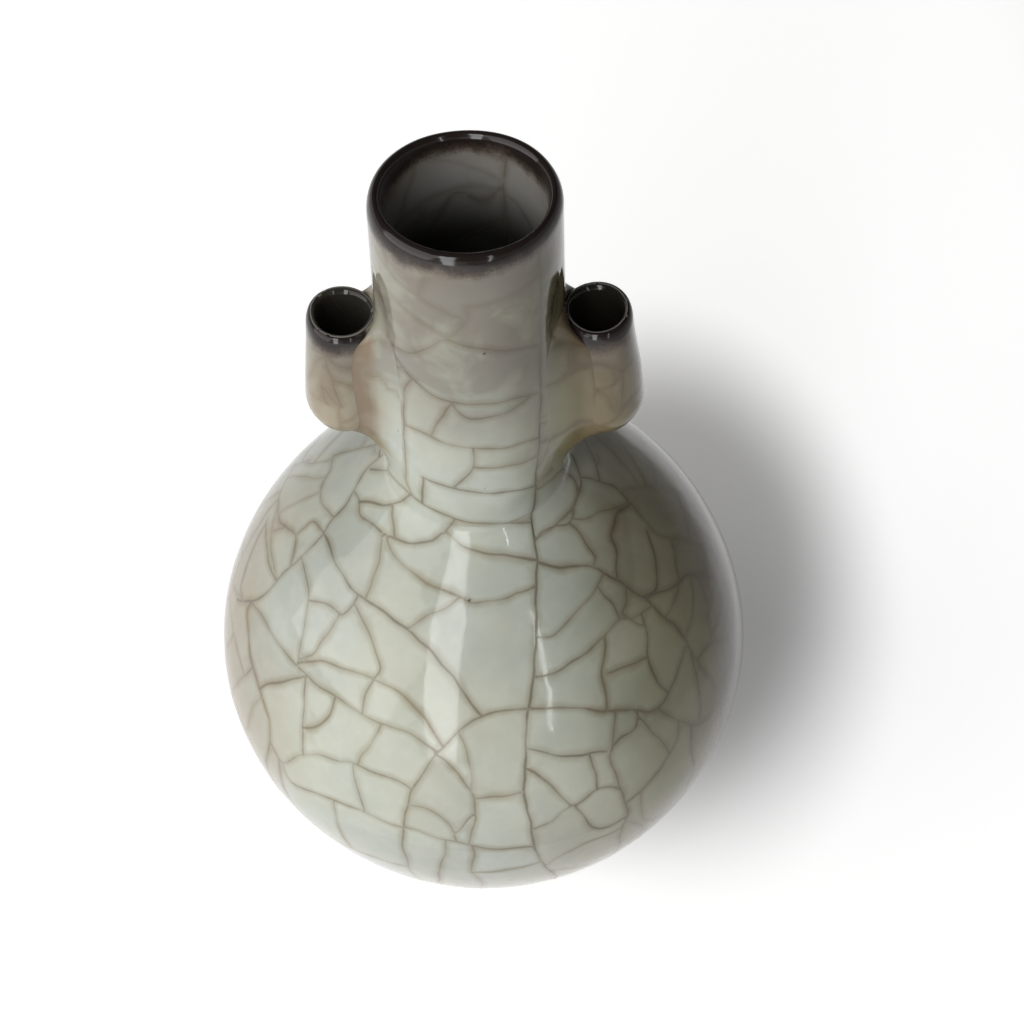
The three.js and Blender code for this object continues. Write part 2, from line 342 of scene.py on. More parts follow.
# Thrown wall: lower body, upper body and neck carry one skin of glaze, which crackled as a whole
# when it cooled. Its section runs from the foot up the outside, over the lip and down the bore.
body_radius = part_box("upper_body")[1].x / MM
waist_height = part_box("upper_body")[0].z / MM
neck_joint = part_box("neck")[0].z / MM
total_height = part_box("neck")[1].z / MM
depth_below_waist = 51.5
rise_above_waist = 52.8
body_fullness = 1.91
bowl_fullness = 2.1
body_wall = 3.4
neck_wall = 2.8
floor_height = foot_height + 3.2
collar_blend = 11
neck_base_radius = 17.0
mouth_radius = 16.7
lip_outer_round = 1.6
lip_outer_drop = 3.0
lip_inner_drop = 2.4
lip_foot = total_height - lip_outer_drop
bore_top = total_height - lip_inner_drop
crest_radius = mouth_radius - lip_outer_round


def round_radius(half_width, half_height, fullness, distance):
    # how wide a rounded form is at a distance from its widest place
    share = np.clip(np.abs(distance) / half_height, 0, 1)
    return half_width * (1 - share ** fullness) ** (1 / fullness)


def soft_larger(a, b):
    # the larger of two radii, with a blend where they are nearly alike
    near = np.maximum(collar_blend - np.abs(a - b), 0) / collar_blend
    return np.maximum(a, b) + near * near * collar_blend / 4


def neck_radius(height):
    share = np.clip((height - neck_joint) / (lip_foot - neck_joint), None, 1)
    return neck_base_radius + (mouth_radius - neck_base_radius) * share


def outer_radius(height):
    height = np.asarray(height, float)
    below = round_radius(body_radius, depth_below_waist, body_fullness, waist_height - height)
    ball = round_radius(body_radius, rise_above_waist, body_fullness, height - waist_height)
    return np.where(height < waist_height, below, soft_larger(ball, neck_radius(height)))


def inner_radius(height):
    height = np.asarray(height, float)
    half_width = body_radius - body_wall
    below = round_radius(half_width, waist_height - floor_height, bowl_fullness, waist_height - height)
    ball = round_radius(half_width, rise_above_waist - body_wall, body_fullness, height - waist_height)
    return np.where(height < waist_height, below, soft_larger(ball, neck_radius(height) - neck_wall))


class TurnedSkin:
    # a skin about an axis, flattened so that angles stay true: a flat point's first number is the
    # turn in radians, and its second the distance up the section divided by the radius there
    def __init__(self, radii, heights):
        self.radii = np.asarray(radii, float)
        self.heights = np.asarray(heights, float)
        steps = np.hypot(np.diff(self.radii), np.diff(self.heights))
        middle = (self.radii[1:] + self.radii[:-1]) / 2
        self.length = np.concatenate([[0], np.cumsum(steps)])
        self.along = np.concatenate([[0], np.cumsum(steps / middle)])

    def section(self, along):
        radius = np.interp(along, self.along, self.radii)
        height = np.interp(along, self.along, self.heights)
        length = np.interp(along, self.along, self.length)
        return radius, height, length

    def scale(self, points):
        return np.interp(points[:, 1], self.along, self.radii)


outside_heights = np.arange(foot_height, lip_foot, 0.1)
outer_lip_turn = np.radians(np.arange(0, 90, 1.0))
inner_lip_turn = np.radians(np.arange(90, 180, 1.0))
bore_heights = np.arange(bore_top, neck_joint, -0.1)
inner_lip_round = crest_radius - float(inner_radius(bore_top))
wall = TurnedSkin(
    np.concatenate([
        outer_radius(outside_heights),
        crest_radius + lip_outer_round * np.cos(outer_lip_turn),
        crest_radius + inner_lip_round * np.cos(inner_lip_turn),
        inner_radius(bore_heights),
        inner_radius([neck_joint]),
    ]),
    np.concatenate([
        outside_heights,
        lip_foot + lip_outer_drop * np.sin(outer_lip_turn),
        bore_top + lip_inner_drop * np.sin(inner_lip_turn),
        bore_heights,
        [neck_joint],
    ]),
)
crest_index = int(np.argmax(wall.heights))
crest_length = wall.length[crest_index]


def wall_along(height):
    # place on the outside at a height
    return np.interp(height, wall.heights[:crest_index], wall.along[:crest_index])


# (waves round the pot, waves per mm up it, size in mm, start) of the wheel's and hand's unevenness
wall_waves = [(2, 0.0021, 0.11, 0.4), (3, -0.0052, 0.06, 2.1), (1, 0.0098, 0.07, 4.0),
              (5, 0.0153, 0.028, 1.2), (4, -0.0210, 0.026, 5.1), (1, 0.093, 0.010, 0.7),
              (7, 0.031, 0.014, 3.3), (9, -0.047, 0.008, 0.2)]


def wall_swell(across, length):
    # how far the wall stands out beyond its true section, in mm
    swell = np.zeros_like(across)
    for waves, rate, size, start in wall_waves:
        swell += size * np.sin(waves * across + 2 * math.pi * rate * length + start)
    return swell


# Above each lug the neck was pared to a shallow leaf: (azimuth and height of its middle, half of its
# length and width in mm, lean in degrees, depth in mm)
pared_leaves = [(-66.5, 151.2, 7.2, 2.9, 22, 0.28), (66, 149.4, 7.6, 3.1, -22, 0.36)]


def leaf_depth(points):
    depth = np.zeros(len(points))
    for azimuth, height, long, wide, lean, deep in pared_leaves:
        turn = (points[:, 0] - math.radians(azimuth) + math.pi) % (2 * math.pi) - math.pi
        side = turn * mouth_radius
        rise = (points[:, 1] - wall_along(height)) * mouth_radius
        lean = math.radians(lean)
        across_leaf = side * math.cos(lean) + rise * math.sin(lean)
        up_leaf = rise * math.cos(lean) - side * math.sin(lean)
        inside = 1 - (up_leaf / long) ** 2 - np.abs(across_leaf / wide)
        depth = np.maximum(depth, deep * np.clip(inside * 1.6, 0, 1))
    return depth


def place_wall(points):
    # takes flat points of the wall's skin to their places on the vase
    across = points[:, 0]
    along = points[:, 1]
    radius, height, length = wall.section(along)
    step = 0.004
    low_radius, low_height, _ = wall.section(along - step)
    high_radius, high_height, _ = wall.section(along + step)
    rise = high_height - low_height
    flare = high_radius - low_radius
    run = np.hypot(rise, flare)
    swell = wall_swell(across, length) - leaf_depth(points)
    radius = radius + swell * rise / run
    height = height - swell * flare / run
    return np.stack([radius * np.sin(across), -radius * np.cos(across), height], 1)


# The crackle. The first cracks are long and dark and the later ones fill the cells between them,
# each meeting the older ones squarely. Azimuths are in degrees from the front and heights in mm.
# The long crack runs the whole way up the right of the front, and the skin is opened along it.
long_crack = [(10, 3.8), (12, 8), (14.5, 20), (14.5, 30), (13, 36), (9.6, 45), (8.5, 51), (8, 56),
              (7.4, 61), (7.2, 65), (7.7, 70), (8.8, 75), (10.2, 80), (13.5, 85), (16.7, 90),
              (22.5, 95), (27, 97.5), (32, 100.5), (36, 103), (38, 107), (39.5, 112), (42, 120),
              (44, 129), (45, 142), (46, 150), (47, 158), (46, 164)]

shoulder_cracks = [
    [(-95, 99.2), (-82, 103.2), (-70, 106), (-57, 107), (-44, 106.5), (-24.5, 105.8), (-3.5, 104.2),
     (15, 103), (26, 101.8), (35, 101)],
    [(-84, 70), (-78, 74.8), (-75, 78.4), (-74.4, 82.7), (-73.7, 88.1), (-75.3, 92.2), (-78, 93.6),
     (-81.5, 95.7), (-87, 97), (-97, 99), (-108, 104)],
    [(-75.3, 92.2), (-70, 92.3), (-61.5, 91.7), (-53, 91.3), (-47, 91), (-40, 91.2), (-33.4, 90.9), (-25, 90),
     (-21, 89.2), (-17.3, 88.4), (-14.6, 87.5), (-9, 85.3), (-6, 83.3), (-4, 81.5), (-1.5, 79.6)],
    [(24.5, 97.2), (34, 95.4), (39.5, 94.8), (45.7, 93.6), (49.5, 91), (51.2, 89.9), (53, 87.5),
     (54.3, 85.7), (55.7, 81.5), (57.4, 79.4), (57.4, 76), (57.2, 74), (57.6, 71), (58.6, 67.7),
     (59.2, 65.2), (59.7, 62.3), (61, 58), (60, 50), (62, 42), (60, 30)],
    [(-86, 97), (-79, 97.4), (-71, 96.8), (-64, 97.4), (-53.5, 97.8), (-47, 98.2), (-40, 98.6), (-33, 99.2),
     (-27, 99.9), (-21, 101.2), (-10, 100), (-3, 99.5), (6, 99.1), (15.5, 98.5), (25.5, 97.2)],
    [(29, 99), (36, 99.6), (44, 99.2), (51.5, 98.3), (62.5, 99.1), (72, 99.4), (80.5, 99.7), (95, 101)],
]
neck_cracks = [
    [(-90, 147), (-75, 146), (-56.5, 142.8), (-37.5, 139.5), (-20, 136.8), (-6.5, 136), (9.5, 135.5),
     (26.5, 135), (45, 133)],
    [(-62, 143.6), (-46, 144.8), (-35, 146), (-24.5, 149.2), (-15, 151.6), (-1, 150), (17, 148), (37, 146),
     (45.5, 144.4)],
    [(-15, 151.6), (-6, 154.5), (-1, 156.8), (-2.5, 159.8)],
    [(-37.5, 139.5), (-44.5, 135.6), (-46.8, 131), (-47.6, 125.5), (-48, 118), (-49.5, 112.4), (-49.5, 109.6),
     (-44.5, 106.6)],
    [(-47.4, 125.6), (-38, 126.3), (-28, 126.2), (-15.5, 124.9), (-1.5, 124.5), (16.5, 123.5), (35, 122.5),
     (43, 121.4)],
    [(-12.5, 135.8), (-18, 133.2), (-22.5, 130.6), (-27, 126.4)],
    [(-12.5, 135.8), (-6.5, 133), (1.5, 132.3), (20, 132.2), (36, 133)],
    [(-35, 113.9), (-21.5, 113.6), (-3, 112.8), (15.5, 111.6), (38, 109.4)],
    [(-1.5, 124.5), (-2, 119.5), (-6, 116.8), (-15, 114.2)],
    [(-1.6, 119.4), (12.5, 118.6), (27.5, 117.6), (40, 117.2)],
    [(-35, 113.9), (-36.5, 107)],
    [(45, 125), (58, 123), (71, 122.2)],
    [(43.4, 120), (58, 118.8), (71, 117.5)],
    [(39, 113.2), (49.5, 116.5), (60, 118.4)],
    [(38, 108.2), (52, 107.2), (64, 106.4), (80, 103)],
    [(31.5, 99.5), (50, 99.2), (67.5, 99.4), (77, 100.8), (72, 105)],
    [(-21, 101.2), (-18, 103), (-15.5, 105)],
    [(-61, 101), (-53, 99.4), (-46.5, 98.2)],
    [(-78, 97.6), (-73.5, 98.6), (-60.5, 101), (-46, 106.6)],
]
bore_cracks = [
    [(147, 168.6), (150, 162), (151, 158), (147, 149), (150, 140)],
    [(151, 158), (138, 156.6), (122, 153)],
    [(150, 160), (168, 155), (186, 157), (204, 151)],
    [(147.5, 149), (128, 144), (110, 146)],
]
belly_cracks = [
    [(10.2, 80), (6, 80.2), (2, 80.1), (-1.5, 79.5), (-4.2, 78.7), (-7.2, 77), (-9.3, 75.2), (-11.5, 73),
     (-13, 71.3), (-15.5, 67.8), (-17, 64.4), (-17.5, 61.2), (-18.3, 58.8), (-18.7, 54.7), (-19, 49.5),
     (-18.9, 44.8), (-18.8, 38), (-18, 28), (-17, 16), (-16, 4)],
    [(-78, 74.8), (-72, 76.5), (-67, 76.7), (-62, 77), (-57, 76.8), (-48.4, 76.7), (-39, 76.7), (-31, 76.1),
     (-25.8, 76), (-22.6, 75.7), (-18.4, 75.5), (-14.5, 74.2), (-11.5, 73)],
    [(-51, 97.4), (-45, 97), (-39, 96.5), (-25, 95.5), (-13.5, 95.1), (-5, 94.2)],
    [(-6.5, 94.6), (-4, 94), (2, 94.3), (9.5, 94.3), (13, 94.6), (17, 94.6), (22, 94.7)],
    [(-24.5, 90.3), (-19.5, 92.2), (-15.8, 92.9), (-11, 93.3)],
    [(-54, 97.2), (-49, 96.2), (-45.6, 94.7), (-43.7, 92.9), (-43, 91.1)],
    [(-73.7, 88.1), (-68.8, 87.7), (-63.7, 87), (-60.5, 85.7), (-57.8, 83.9), (-54.7, 80.8), (-52.5, 76.8)],
    [(-60.5, 85.7), (-56, 87), (-51, 87.7), (-47, 87.8), (-46, 89.8), (-46, 91)],
    [(-46, 90), (-40, 88.7), (-35.5, 87.4), (-31.6, 85.7), (-29.5, 84), (-30.7, 82.3),
     (-31.5, 79.5), (-31, 76.3)],
    [(-48, 87.8), (-48.2, 84.5), (-49.2, 82.7), (-49.8, 80.4), (-51.5, 78)],
    [(-52, 77.5), (-48.5, 79.6), (-45, 80.8), (-36, 81.8), (-30, 82.2), (-22, 81.5), (-16, 78.8), (-12, 75)],
    [(-77.5, 75), (-77, 73), (-72.5, 71.4), (-67.7, 68.9), (-63.4, 67), (-60, 65.5), (-57.1, 63.6),
     (-54.9, 62), (-54.5, 56), (-56, 48), (-54, 38)],
    [(-60, 67.5), (-58, 69.8), (-53.5, 73.2), (-48.5, 76.5)],
    [(-49, 76.5), (-47.4, 73.1), (-45.9, 70), (-45, 66.9), (-44.2, 63.5), (-44, 61.5)],
    [(-54.9, 57.5), (-50, 55), (-47, 58), (-44, 61.5), (-40.4, 64), (-37.3, 64.8), (-34, 65.4), (-31, 66.2),
     (-24, 66.2), (-20, 66), (-17, 64.9)],
    [(-50, 54.8), (-47.3, 51.5), (-43, 52.7), (-39, 54), (-34.7, 54.8), (-30.2, 55.5), (-26.5, 55.8),
     (-22.3, 54.8), (-18.7, 54.7)],
    [(-25.8, 76), (-26.6, 73.8), (-28, 70.8), (-29.2, 68.4), (-29.7, 66.2)],
    [(-39.2, 76.6), (-39, 73.3), (-41, 70), (-45.2, 67.4)],
    [(-12, 72.6), (-9.6, 71.5), (-7.2, 69.7), (-5.6, 68), (-4.3, 65.9), (-3.6, 63.6), (-3.5, 60.8),
     (-3.6, 57.8), (-4.3, 55.6), (-5, 52.4)],
    [(-6.8, 76.8), (-5.6, 74.7), (-4.4, 71.7), (-4, 69.4), (-3.6, 66)],
    [(-3.5, 64.3), (0, 64.6), (3, 64.5), (7.3, 65)],
    [(-18.7, 54.8), (-15.8, 54.9), (-12.6, 53.8), (-10, 53), (-7.5, 52.8), (-4.5, 52.1), (-1.2, 51),
     (3.5, 50.6), (7, 50.4), (8.7, 50)],
    [(-17.3, 61), (-14.7, 61), (-12, 60.2), (-10, 59), (-8.4, 57), (-7.5, 52.8)],
    [(-9.8, 53), (-10, 49), (-11, 45.3), (-11.8, 40), (-13, 30), (-12, 16)],
    [(-4.3, 52), (-4, 48.6), (-4.7, 42), (-3, 34), (-4, 20)],
    [(-4.7, 41), (-1.5, 41.3), (3.3, 42), (6.5, 42.6), (10, 43.6)],
    [(-51, 54.8), (-50, 44), (-44, 38), (-36, 37), (-28, 38), (-19, 39)],
    [(-35, 54.8), (-34.5, 47), (-33, 37)],
]
right_cracks = [
    [(16.2, 89.4), (21, 88.9), (24.5, 89.3), (30.3, 90.2), (38, 90.8), (47.5, 92)],
    [(43.5, 91.3), (43, 90), (44, 88.6), (43, 86.3)],
    [(51.2, 89), (48, 87.6), (43, 86.3)],
    [(46.5, 85.5), (48.5, 83.2), (50, 84.8)],
    [(33, 80.8), (38, 80.3), (44.8, 79.2)],
    [(55, 86.4), (59, 85.4), (64, 86.6), (70, 88.6), (74, 90)],
    [(68, 82.1), (61.5, 81.6), (56, 81.6)],
    [(72.5, 80.6), (65.5, 77.5), (57.4, 76)],
    [(53.5, 73.9), (54.5, 65.5), (52, 59.4)],
    [(13, 84.3), (17, 84.1), (20.8, 84.2), (25, 84.8), (31.7, 85.4), (33.9, 85.6), (40.2, 86.2),
     (43.5, 86.3), (47.6, 85.3), (54.5, 84.3)],
    [(10.2, 80), (13.5, 79.6), (17, 79), (22.4, 77.8), (29.2, 75.4), (35.4, 73), (39.1, 70.9), (41.7, 70.2)],
    [(8.4, 73.5), (11.3, 72.6), (14.5, 71.3), (17.4, 70.4), (20.4, 69.4), (23.6, 69.1), (26.6, 68.2)],
    [(36.5, 85.7), (35.2, 84.5), (33, 82.6), (31.2, 81.1), (30, 77.3), (29.2, 75.4)],
    [(54.3, 85.7), (59.3, 84.9), (63.8, 83.2), (68.2, 82.1), (71, 81.5), (75.2, 78.8), (79, 75), (84, 70)],
    [(68.2, 82.1), (71.2, 84), (75, 85), (78, 86.1), (76.2, 89.2), (81, 93), (86, 95), (84, 98), (81, 99.6)],
    [(51, 90.3), (53.5, 91.6), (58.7, 92.6), (62, 94), (67.5, 94.1), (74, 94.3), (81, 93)],
    [(51.8, 98.2), (52.3, 97.4), (50.6, 95.6), (50, 94), (46.5, 93.5)],
    [(41.7, 70.2), (44.2, 70.4), (46.3, 71.2), (49.3, 72.3), (52, 73.6), (57.2, 75)],
    [(41.7, 70.2), (43.9, 67.3), (46, 64.6), (48.7, 61.5), (51.6, 59.5), (56, 58), (60.8, 58)],
    [(50.5, 84.9), (47.8, 81.7), (45.2, 79.5), (44.4, 75), (46, 71.2)],
    [(29.9, 74.6), (31, 74.3), (29.6, 71.7), (28.1, 68.4), (27.2, 67), (27.4, 64.2), (27.8, 61.4),
     (28.1, 58.2), (28.7, 55.2), (29.6, 50.3), (28, 44), (29, 34), (27, 20)],
    [(37, 72.4), (34.6, 69.7), (30.8, 69.5), (28.1, 68.4)],
    [(7.8, 69.8), (10, 68.6), (12.6, 65.7), (14.7, 62.4), (17, 59.1), (20.3, 60.2), (23, 61.2), (26, 60.3),
     (28.1, 58.5)],
    [(22.5, 69.1), (22.9, 65), (23, 61.2)],
    [(17, 59.1), (14.5, 58.2), (12.3, 56.7), (8.3, 55.5)],
    [(17.5, 59), (19.9, 54), (21.7, 50.9), (24.3, 49.2), (29.5, 49.5)],
    [(46, 64.6), (45.1, 61.6), (42.9, 59.9), (40, 58.6), (38.3, 57.3), (35.5, 56), (33.2, 54.9), (29, 54)],
    [(35.4, 73), (38, 68), (40.5, 63), (41.5, 59.3)],
    [(33.2, 54.9), (33, 51.6), (34, 45), (38, 40), (44, 38), (52, 39), (61, 42)],
    [(11.4, 41), (13.2, 43.7), (16.7, 45.6), (19.5, 46.4), (24, 46.3), (28.3, 46.5)],
    [(49.5, 61), (48.3, 57), (48, 52.5), (49, 48), (47, 38.5)],
    [(57.6, 71), (64, 70), (70, 66), (76, 64), (84, 66), (90, 64)],
    [(60.5, 56), (68, 52), (77, 52), (88, 49)],
]
left_cracks = [
    [(-97, 80.8), (-86, 81.6), (-78.5, 82), (-75, 82.4)],
    [(-90, 86), (-87, 86.8), (-82.5, 88), (-77, 86.9), (-74.2, 85.7)],
    [(-75.3, 92.2), (-83, 91.2), (-83.5, 89.8), (-82.5, 88)],
    [(-79, 93.9), (-94, 92.3), (-105, 93), (-113, 92.6)],
    [(-97.5, 79.8), (-89, 74.8), (-85.5, 72.2), (-81, 72.8)],
    [(-102.5, 83.2), (-94.5, 84.5), (-89, 86.2)],
]


def resample(points, scale, spacing):
    # the same line with its points an even number of millimetres apart
    middle = (points[1:] + points[:-1]) / 2
    steps = np.hypot(*(points[1:] - points[:-1]).T) * scale(middle)
    length = np.concatenate([[0], np.cumsum(steps)])
    count = max(int(round(length[-1] / spacing)), 1)
    marks = np.linspace(0, length[-1], count + 1)
    return np.stack([np.interp(marks, length, points[:, k]) for k in (0, 1)], 1)


def smooth_line(points):
    # a curve through the points of a line
    if len(points) < 3:
        return points
    ends = np.concatenate([[2 * points[0] - points[1]], points, [2 * points[-1] - points[-2]]])
    t = np.linspace(0, 1, 7)[:-1, None]
    curve = []
    for a, b, c, d in zip(ends, ends[1:], ends[2:], ends[3:]):
        curve.append(0.5 * (2 * b + (c - a) * t + (2 * a - 5 * b + 4 * c - d) * t ** 2
                            + (3 * b - a - 3 * c + d) * t ** 3))
    return np.concatenate(curve + [points[-1:]])


def curve_between(start, early, late, end, t):
    # a curve from start to end that leaves towards early and arrives from late
    return ((1 - t) ** 3 * start + 3 * (1 - t) ** 2 * t * early
            + 3 * (1 - t) * t ** 2 * late + t ** 3 * end)


def waver(points, scale, size, rng):
    # small sideways wandering that dies out at both ends
    if len(points) < 4:
        return points
    share = np.linspace(0, 1, len(points))
    length = len(points) * 1.0
    sway = np.sin(share * length * rng.uniform(0.25, 0.5) + rng.uniform(0, 6.28))
    sway += 0.6 * np.sin(share * length * rng.uniform(0.7, 1.2) + rng.uniform(0, 6.28))
    sway *= size * np.minimum(1, 6 * share * (1 - share))
    tangent = np.gradient(points, axis=0)
    tangent /= np.maximum(np.hypot(*tangent.T)[:, None], 1e-9)
    side = np.stack([-tangent[:, 1], tangent[:, 0]], 1)
    return points + side * (sway / scale(points))[:, None]


# mm between the points of a crack, how squarely a crack meets an older one, how far its ends steer
# it, and the shape, as length by width, past which a cell counts as long and cracks sooner
crack_step = 1.0
squarely = 0.62
end_pull = 0.36
long_cell = 1.9


class CrackNet:
    # the cracks of one skin: lines of flat points, each with its darkness and brownness
    def __init__(self, scale, edges, seed):
        self.scale = scale
        self.edges = edges
        self.lines = []
        self.rng = np.random.default_rng(seed)

    def all_lines(self):
        return self.edges + [line["points"] for line in self.lines]

    def walls(self):
        starts = np.concatenate([line[:-1] for line in self.all_lines()])
        ends = np.concatenate([line[1:] for line in self.all_lines()])
        return starts, ends

    def nearest(self, point):
        starts, ends = self.walls()
        run = ends - starts
        share = np.clip(((point - starts) * run).sum(1) / np.maximum((run ** 2).sum(1), 1e-12), 0, 1)
        foot_points = starts + run * share[:, None]
        gaps = np.hypot(*(foot_points - point).T)
        best = int(np.argmin(gaps))
        return foot_points[best], gaps[best] * float(self.scale(point[None])[0])

    def add(self, points, tone, brown):
        points = resample(points, self.scale, crack_step)
        self.lines.append({"points": points, "tone": tone, "brown": brown})

    def lay(self, points, tone, brown=0.2, snap=3.2):
        # a listed crack: its ends are brought on to the crack that they stop at, and it is
        # a little darker or paler, and browner or greyer, than its group
        tone = tone * self.rng.uniform(0.8, 1.16)
        brown = brown + self.rng.uniform(-0.3, 0.3)
        points = np.asarray(points, float)
        for end in (0, -1):
            foot_point, gap = self.nearest(points[end])
            if gap < snap:
                points[end] = foot_point
        points = resample(smooth_line(points), self.scale, crack_step)
        self.add(waver(points, self.scale, 0.14, self.rng), tone, brown)

    def meet(self, start, heading, starts, ends):
        # the nearest crack or edge that a straight line from a point reaches
        run = ends - starts
        gap = starts - start
        cross = heading[0] * run[:, 1] - heading[1] * run[:, 0]
        cross = np.where(np.abs(cross) < 1e-12, 1e-12, cross)
        distance = (gap[:, 0] * run[:, 1] - gap[:, 1] * run[:, 0]) / cross
        share = (gap[:, 0] * heading[1] - gap[:, 1] * heading[0]) / cross
        distance = np.where((distance > 1e-6) & (share >= 0) & (share <= 1), distance, np.inf)
        best = int(np.argmin(distance))
        return start + heading * distance[best], run[best], distance[best]

    def branch(self, start, heading, starts, ends):
        # half a crack: it leaves its start along its heading and turns to meet the older crack squarely
        hit, run, distance = self.meet(start, heading, starts, ends)
        if not np.isfinite(distance):
            return None
        normal = np.array([-run[1], run[0]]) / max(np.hypot(*run), 1e-12)
        if normal @ heading < 0:
            normal = -normal
        arrive = squarely * normal + (1 - squarely) * heading
        arrive /= np.hypot(*arrive)
        early = start + heading * distance * end_pull
        late = hit - arrive * distance * end_pull
        return curve_between(start, early, late, hit, np.linspace(0, 1, 14)[:, None])

    def cells(self, inside):
        # triangulates the skin between all cracks and joins triangles that no crack parts
        points, sides = [], []
        for line in self.all_lines():
            first = len(points)
            points += [Vector(p) for p in line]
            sides += [(i, i + 1) for i in range(first, len(points) - 1)]
        flat, edges, faces, _, edge_sources, _ = delaunay_2d_cdt(points, sides, [], 0, 1e-6)
        flat = np.array([tuple(p) for p in flat])
        faces = np.array(faces)
        return flat, faces, join_cells(flat, faces, edges, edge_sources, inside)

    def split_once(self, inside, limit, stretch, tone, brown):
        # cracks each cell that is larger than its limit across its shorter way
        flat, faces, cell = self.cells(inside)
        corners = flat[faces]
        middles = corners.mean(1)
        one, two = corners[:, 1] - corners[:, 0], corners[:, 2] - corners[:, 0]
        scales = self.scale(middles)
        areas = np.abs(one[:, 0] * two[:, 1] - one[:, 1] * two[:, 0]) / 2 * scales ** 2
        starts, ends = self.walls()
        added = 0
        for number in np.unique(cell[cell >= 0]):
            part = np.nonzero(cell == number)[0]
            area = areas[part].sum()
            weight = areas[part] / max(area, 1e-9)
            centre = (middles[part] * weight[:, None]).sum(0)
            size = float(self.scale(centre[None])[0])
            shape = (corners[part].reshape(-1, 2) - centre) * size
            shape[:, 0] *= stretch(centre)
            spread = (shape * np.repeat(weight, 3)[:, None]).T @ shape
            values, axes = np.linalg.eigh(spread)
            aspect = math.sqrt(max(values[1], 1e-9) / max(values[0], 1e-9))
            chance = (centre[0] * 7.13 + centre[1] * 3.77) % 1
            allowed = limit(centre) * (0.7 + 0.7 * chance)
            if aspect > long_cell:
                allowed *= (long_cell / aspect) ** 0.8
            if area < allowed:
                continue
            short, long = axes[:, 0].copy(), axes[:, 1].copy()
            short[0] /= stretch(centre)
            lean = self.rng.normal(0, 0.22)
            heading = short * math.cos(lean) + long * math.sin(lean)
            heading /= np.hypot(*heading)
            seed = centre + long * self.rng.normal(0, 0.16) * math.sqrt(values[1]) / size
            near = part[np.argmin(np.hypot(*(middles[part] - seed).T))]
            seed = middles[near]
            halves = [self.branch(seed, heading * way, starts, ends) for way in (1, -1)]
            if halves[0] is None or halves[1] is None:
                continue
            bow = np.concatenate([halves[1][::-1], halves[0][1:]])
            bow = waver(resample(bow, self.scale, crack_step), self.scale, 0.16, self.rng)
            self.add(bow, tone * self.rng.uniform(0.8, 1.1), brown)
            added += 1
        return added

    def fill(self, inside, limit, stretch=lambda centre: 1.0, rounds=12, tone=0.9, fade=0.93):
        # splits cells until all are small enough, each round's cracks paler and browner
        for turn in range(rounds):
            brown = min(0.2 + 0.09 * turn, 0.9)
            if not self.split_once(inside, limit, stretch, max(tone * fade ** turn, 0.42), brown):
                break

    def add_hairs(self, inside, share, tone, reach=0.62):
        # short fine cracks that start at an older one and stop inside the cell
        flat, faces, cell = self.cells(inside)
        middles = flat[faces].mean(1)
        starts, ends = self.walls()
        hairs = []
        for number in np.unique(cell[cell >= 0]):
            part = np.nonzero(cell == number)[0]
            if self.rng.random() > share:
                continue
            seed = middles[self.rng.choice(part)]
            turn = self.rng.uniform(0, 2 * math.pi)
            half = self.branch(seed, np.array([math.cos(turn), math.sin(turn)]), starts, ends)
            if half is not None:
                hairs.append(half[int(len(half) * (1 - reach)):])
        for hair in hairs:
            self.add(hair, tone * self.rng.uniform(0.7, 1.2), 0.8)


def join_cells(flat, faces, edges, edge_sources, inside):
    # gives each triangle the number of its cell, and -1 outside the skin
    walls = {tuple(sorted(edge)) for edge, source in zip(edges, edge_sources) if source}
    owner = {}
    parent = list(range(len(faces)))

    def top(i):
        while parent[i] != i:
            parent[i] = parent[parent[i]]
            i = parent[i]
        return i

    for i, (a, b, c) in enumerate(faces.tolist()):
        for key in ((a, b) if a < b else (b, a), (b, c) if b < c else (c, b), (a, c) if a < c else (c, a)):
            if key in walls:
                continue
            other = owner.setdefault(key, i)
            if other != i:
                parent[top(i)] = top(other)
    cell = np.array([top(i) for i in range(len(faces))])
    cell[~inside(flat[faces].mean(1))] = -1
    return cell


first_along = 0.0
last_along = wall.along[-1]
seam = np.array([(math.radians(azimuth), wall_along(height)) for azimuth, height in long_crack])
seam = np.concatenate([seam, [[math.radians(47), wall.along[crest_index]],
                              [math.radians(44), last_along - 2.2], [math.radians(49), last_along]]])
seam[0, 1] = first_along
seam = resample(smooth_line(seam), wall.scale, crack_step)
seam = seam[np.concatenate([[True], np.diff(seam[:, 1]) > 1e-6])]
seam = waver(seam, wall.scale, 0.12, np.random.default_rng(4))
seam[-1, 1] = last_along
whole_turn = np.array([2 * math.pi, 0])


def seam_across(along):
    return np.interp(along, seam[:, 1], seam[:, 0])


def inside_wall(points):
    start = seam_across(points[:, 1])
    return ((points[:, 0] > start) & (points[:, 0] < start + 2 * math.pi)
            & (points[:, 1] > first_along) & (points[:, 1] < last_along))


def rim_line(along):
    # a level edge of the skin
    start = float(seam_across(along))
    across = np.linspace(start, start + 2 * math.pi, 90)
    return np.stack([across, np.full_like(across, along)], 1)


wall_net = CrackNet(wall.scale, [seam, seam + whole_turn, rim_line(first_along), rim_line(last_along)], 11)


def bore_along(height):
    # place in the bore at a height
    return np.interp(-height, -wall.heights[crest_index:], wall.along[crest_index:])


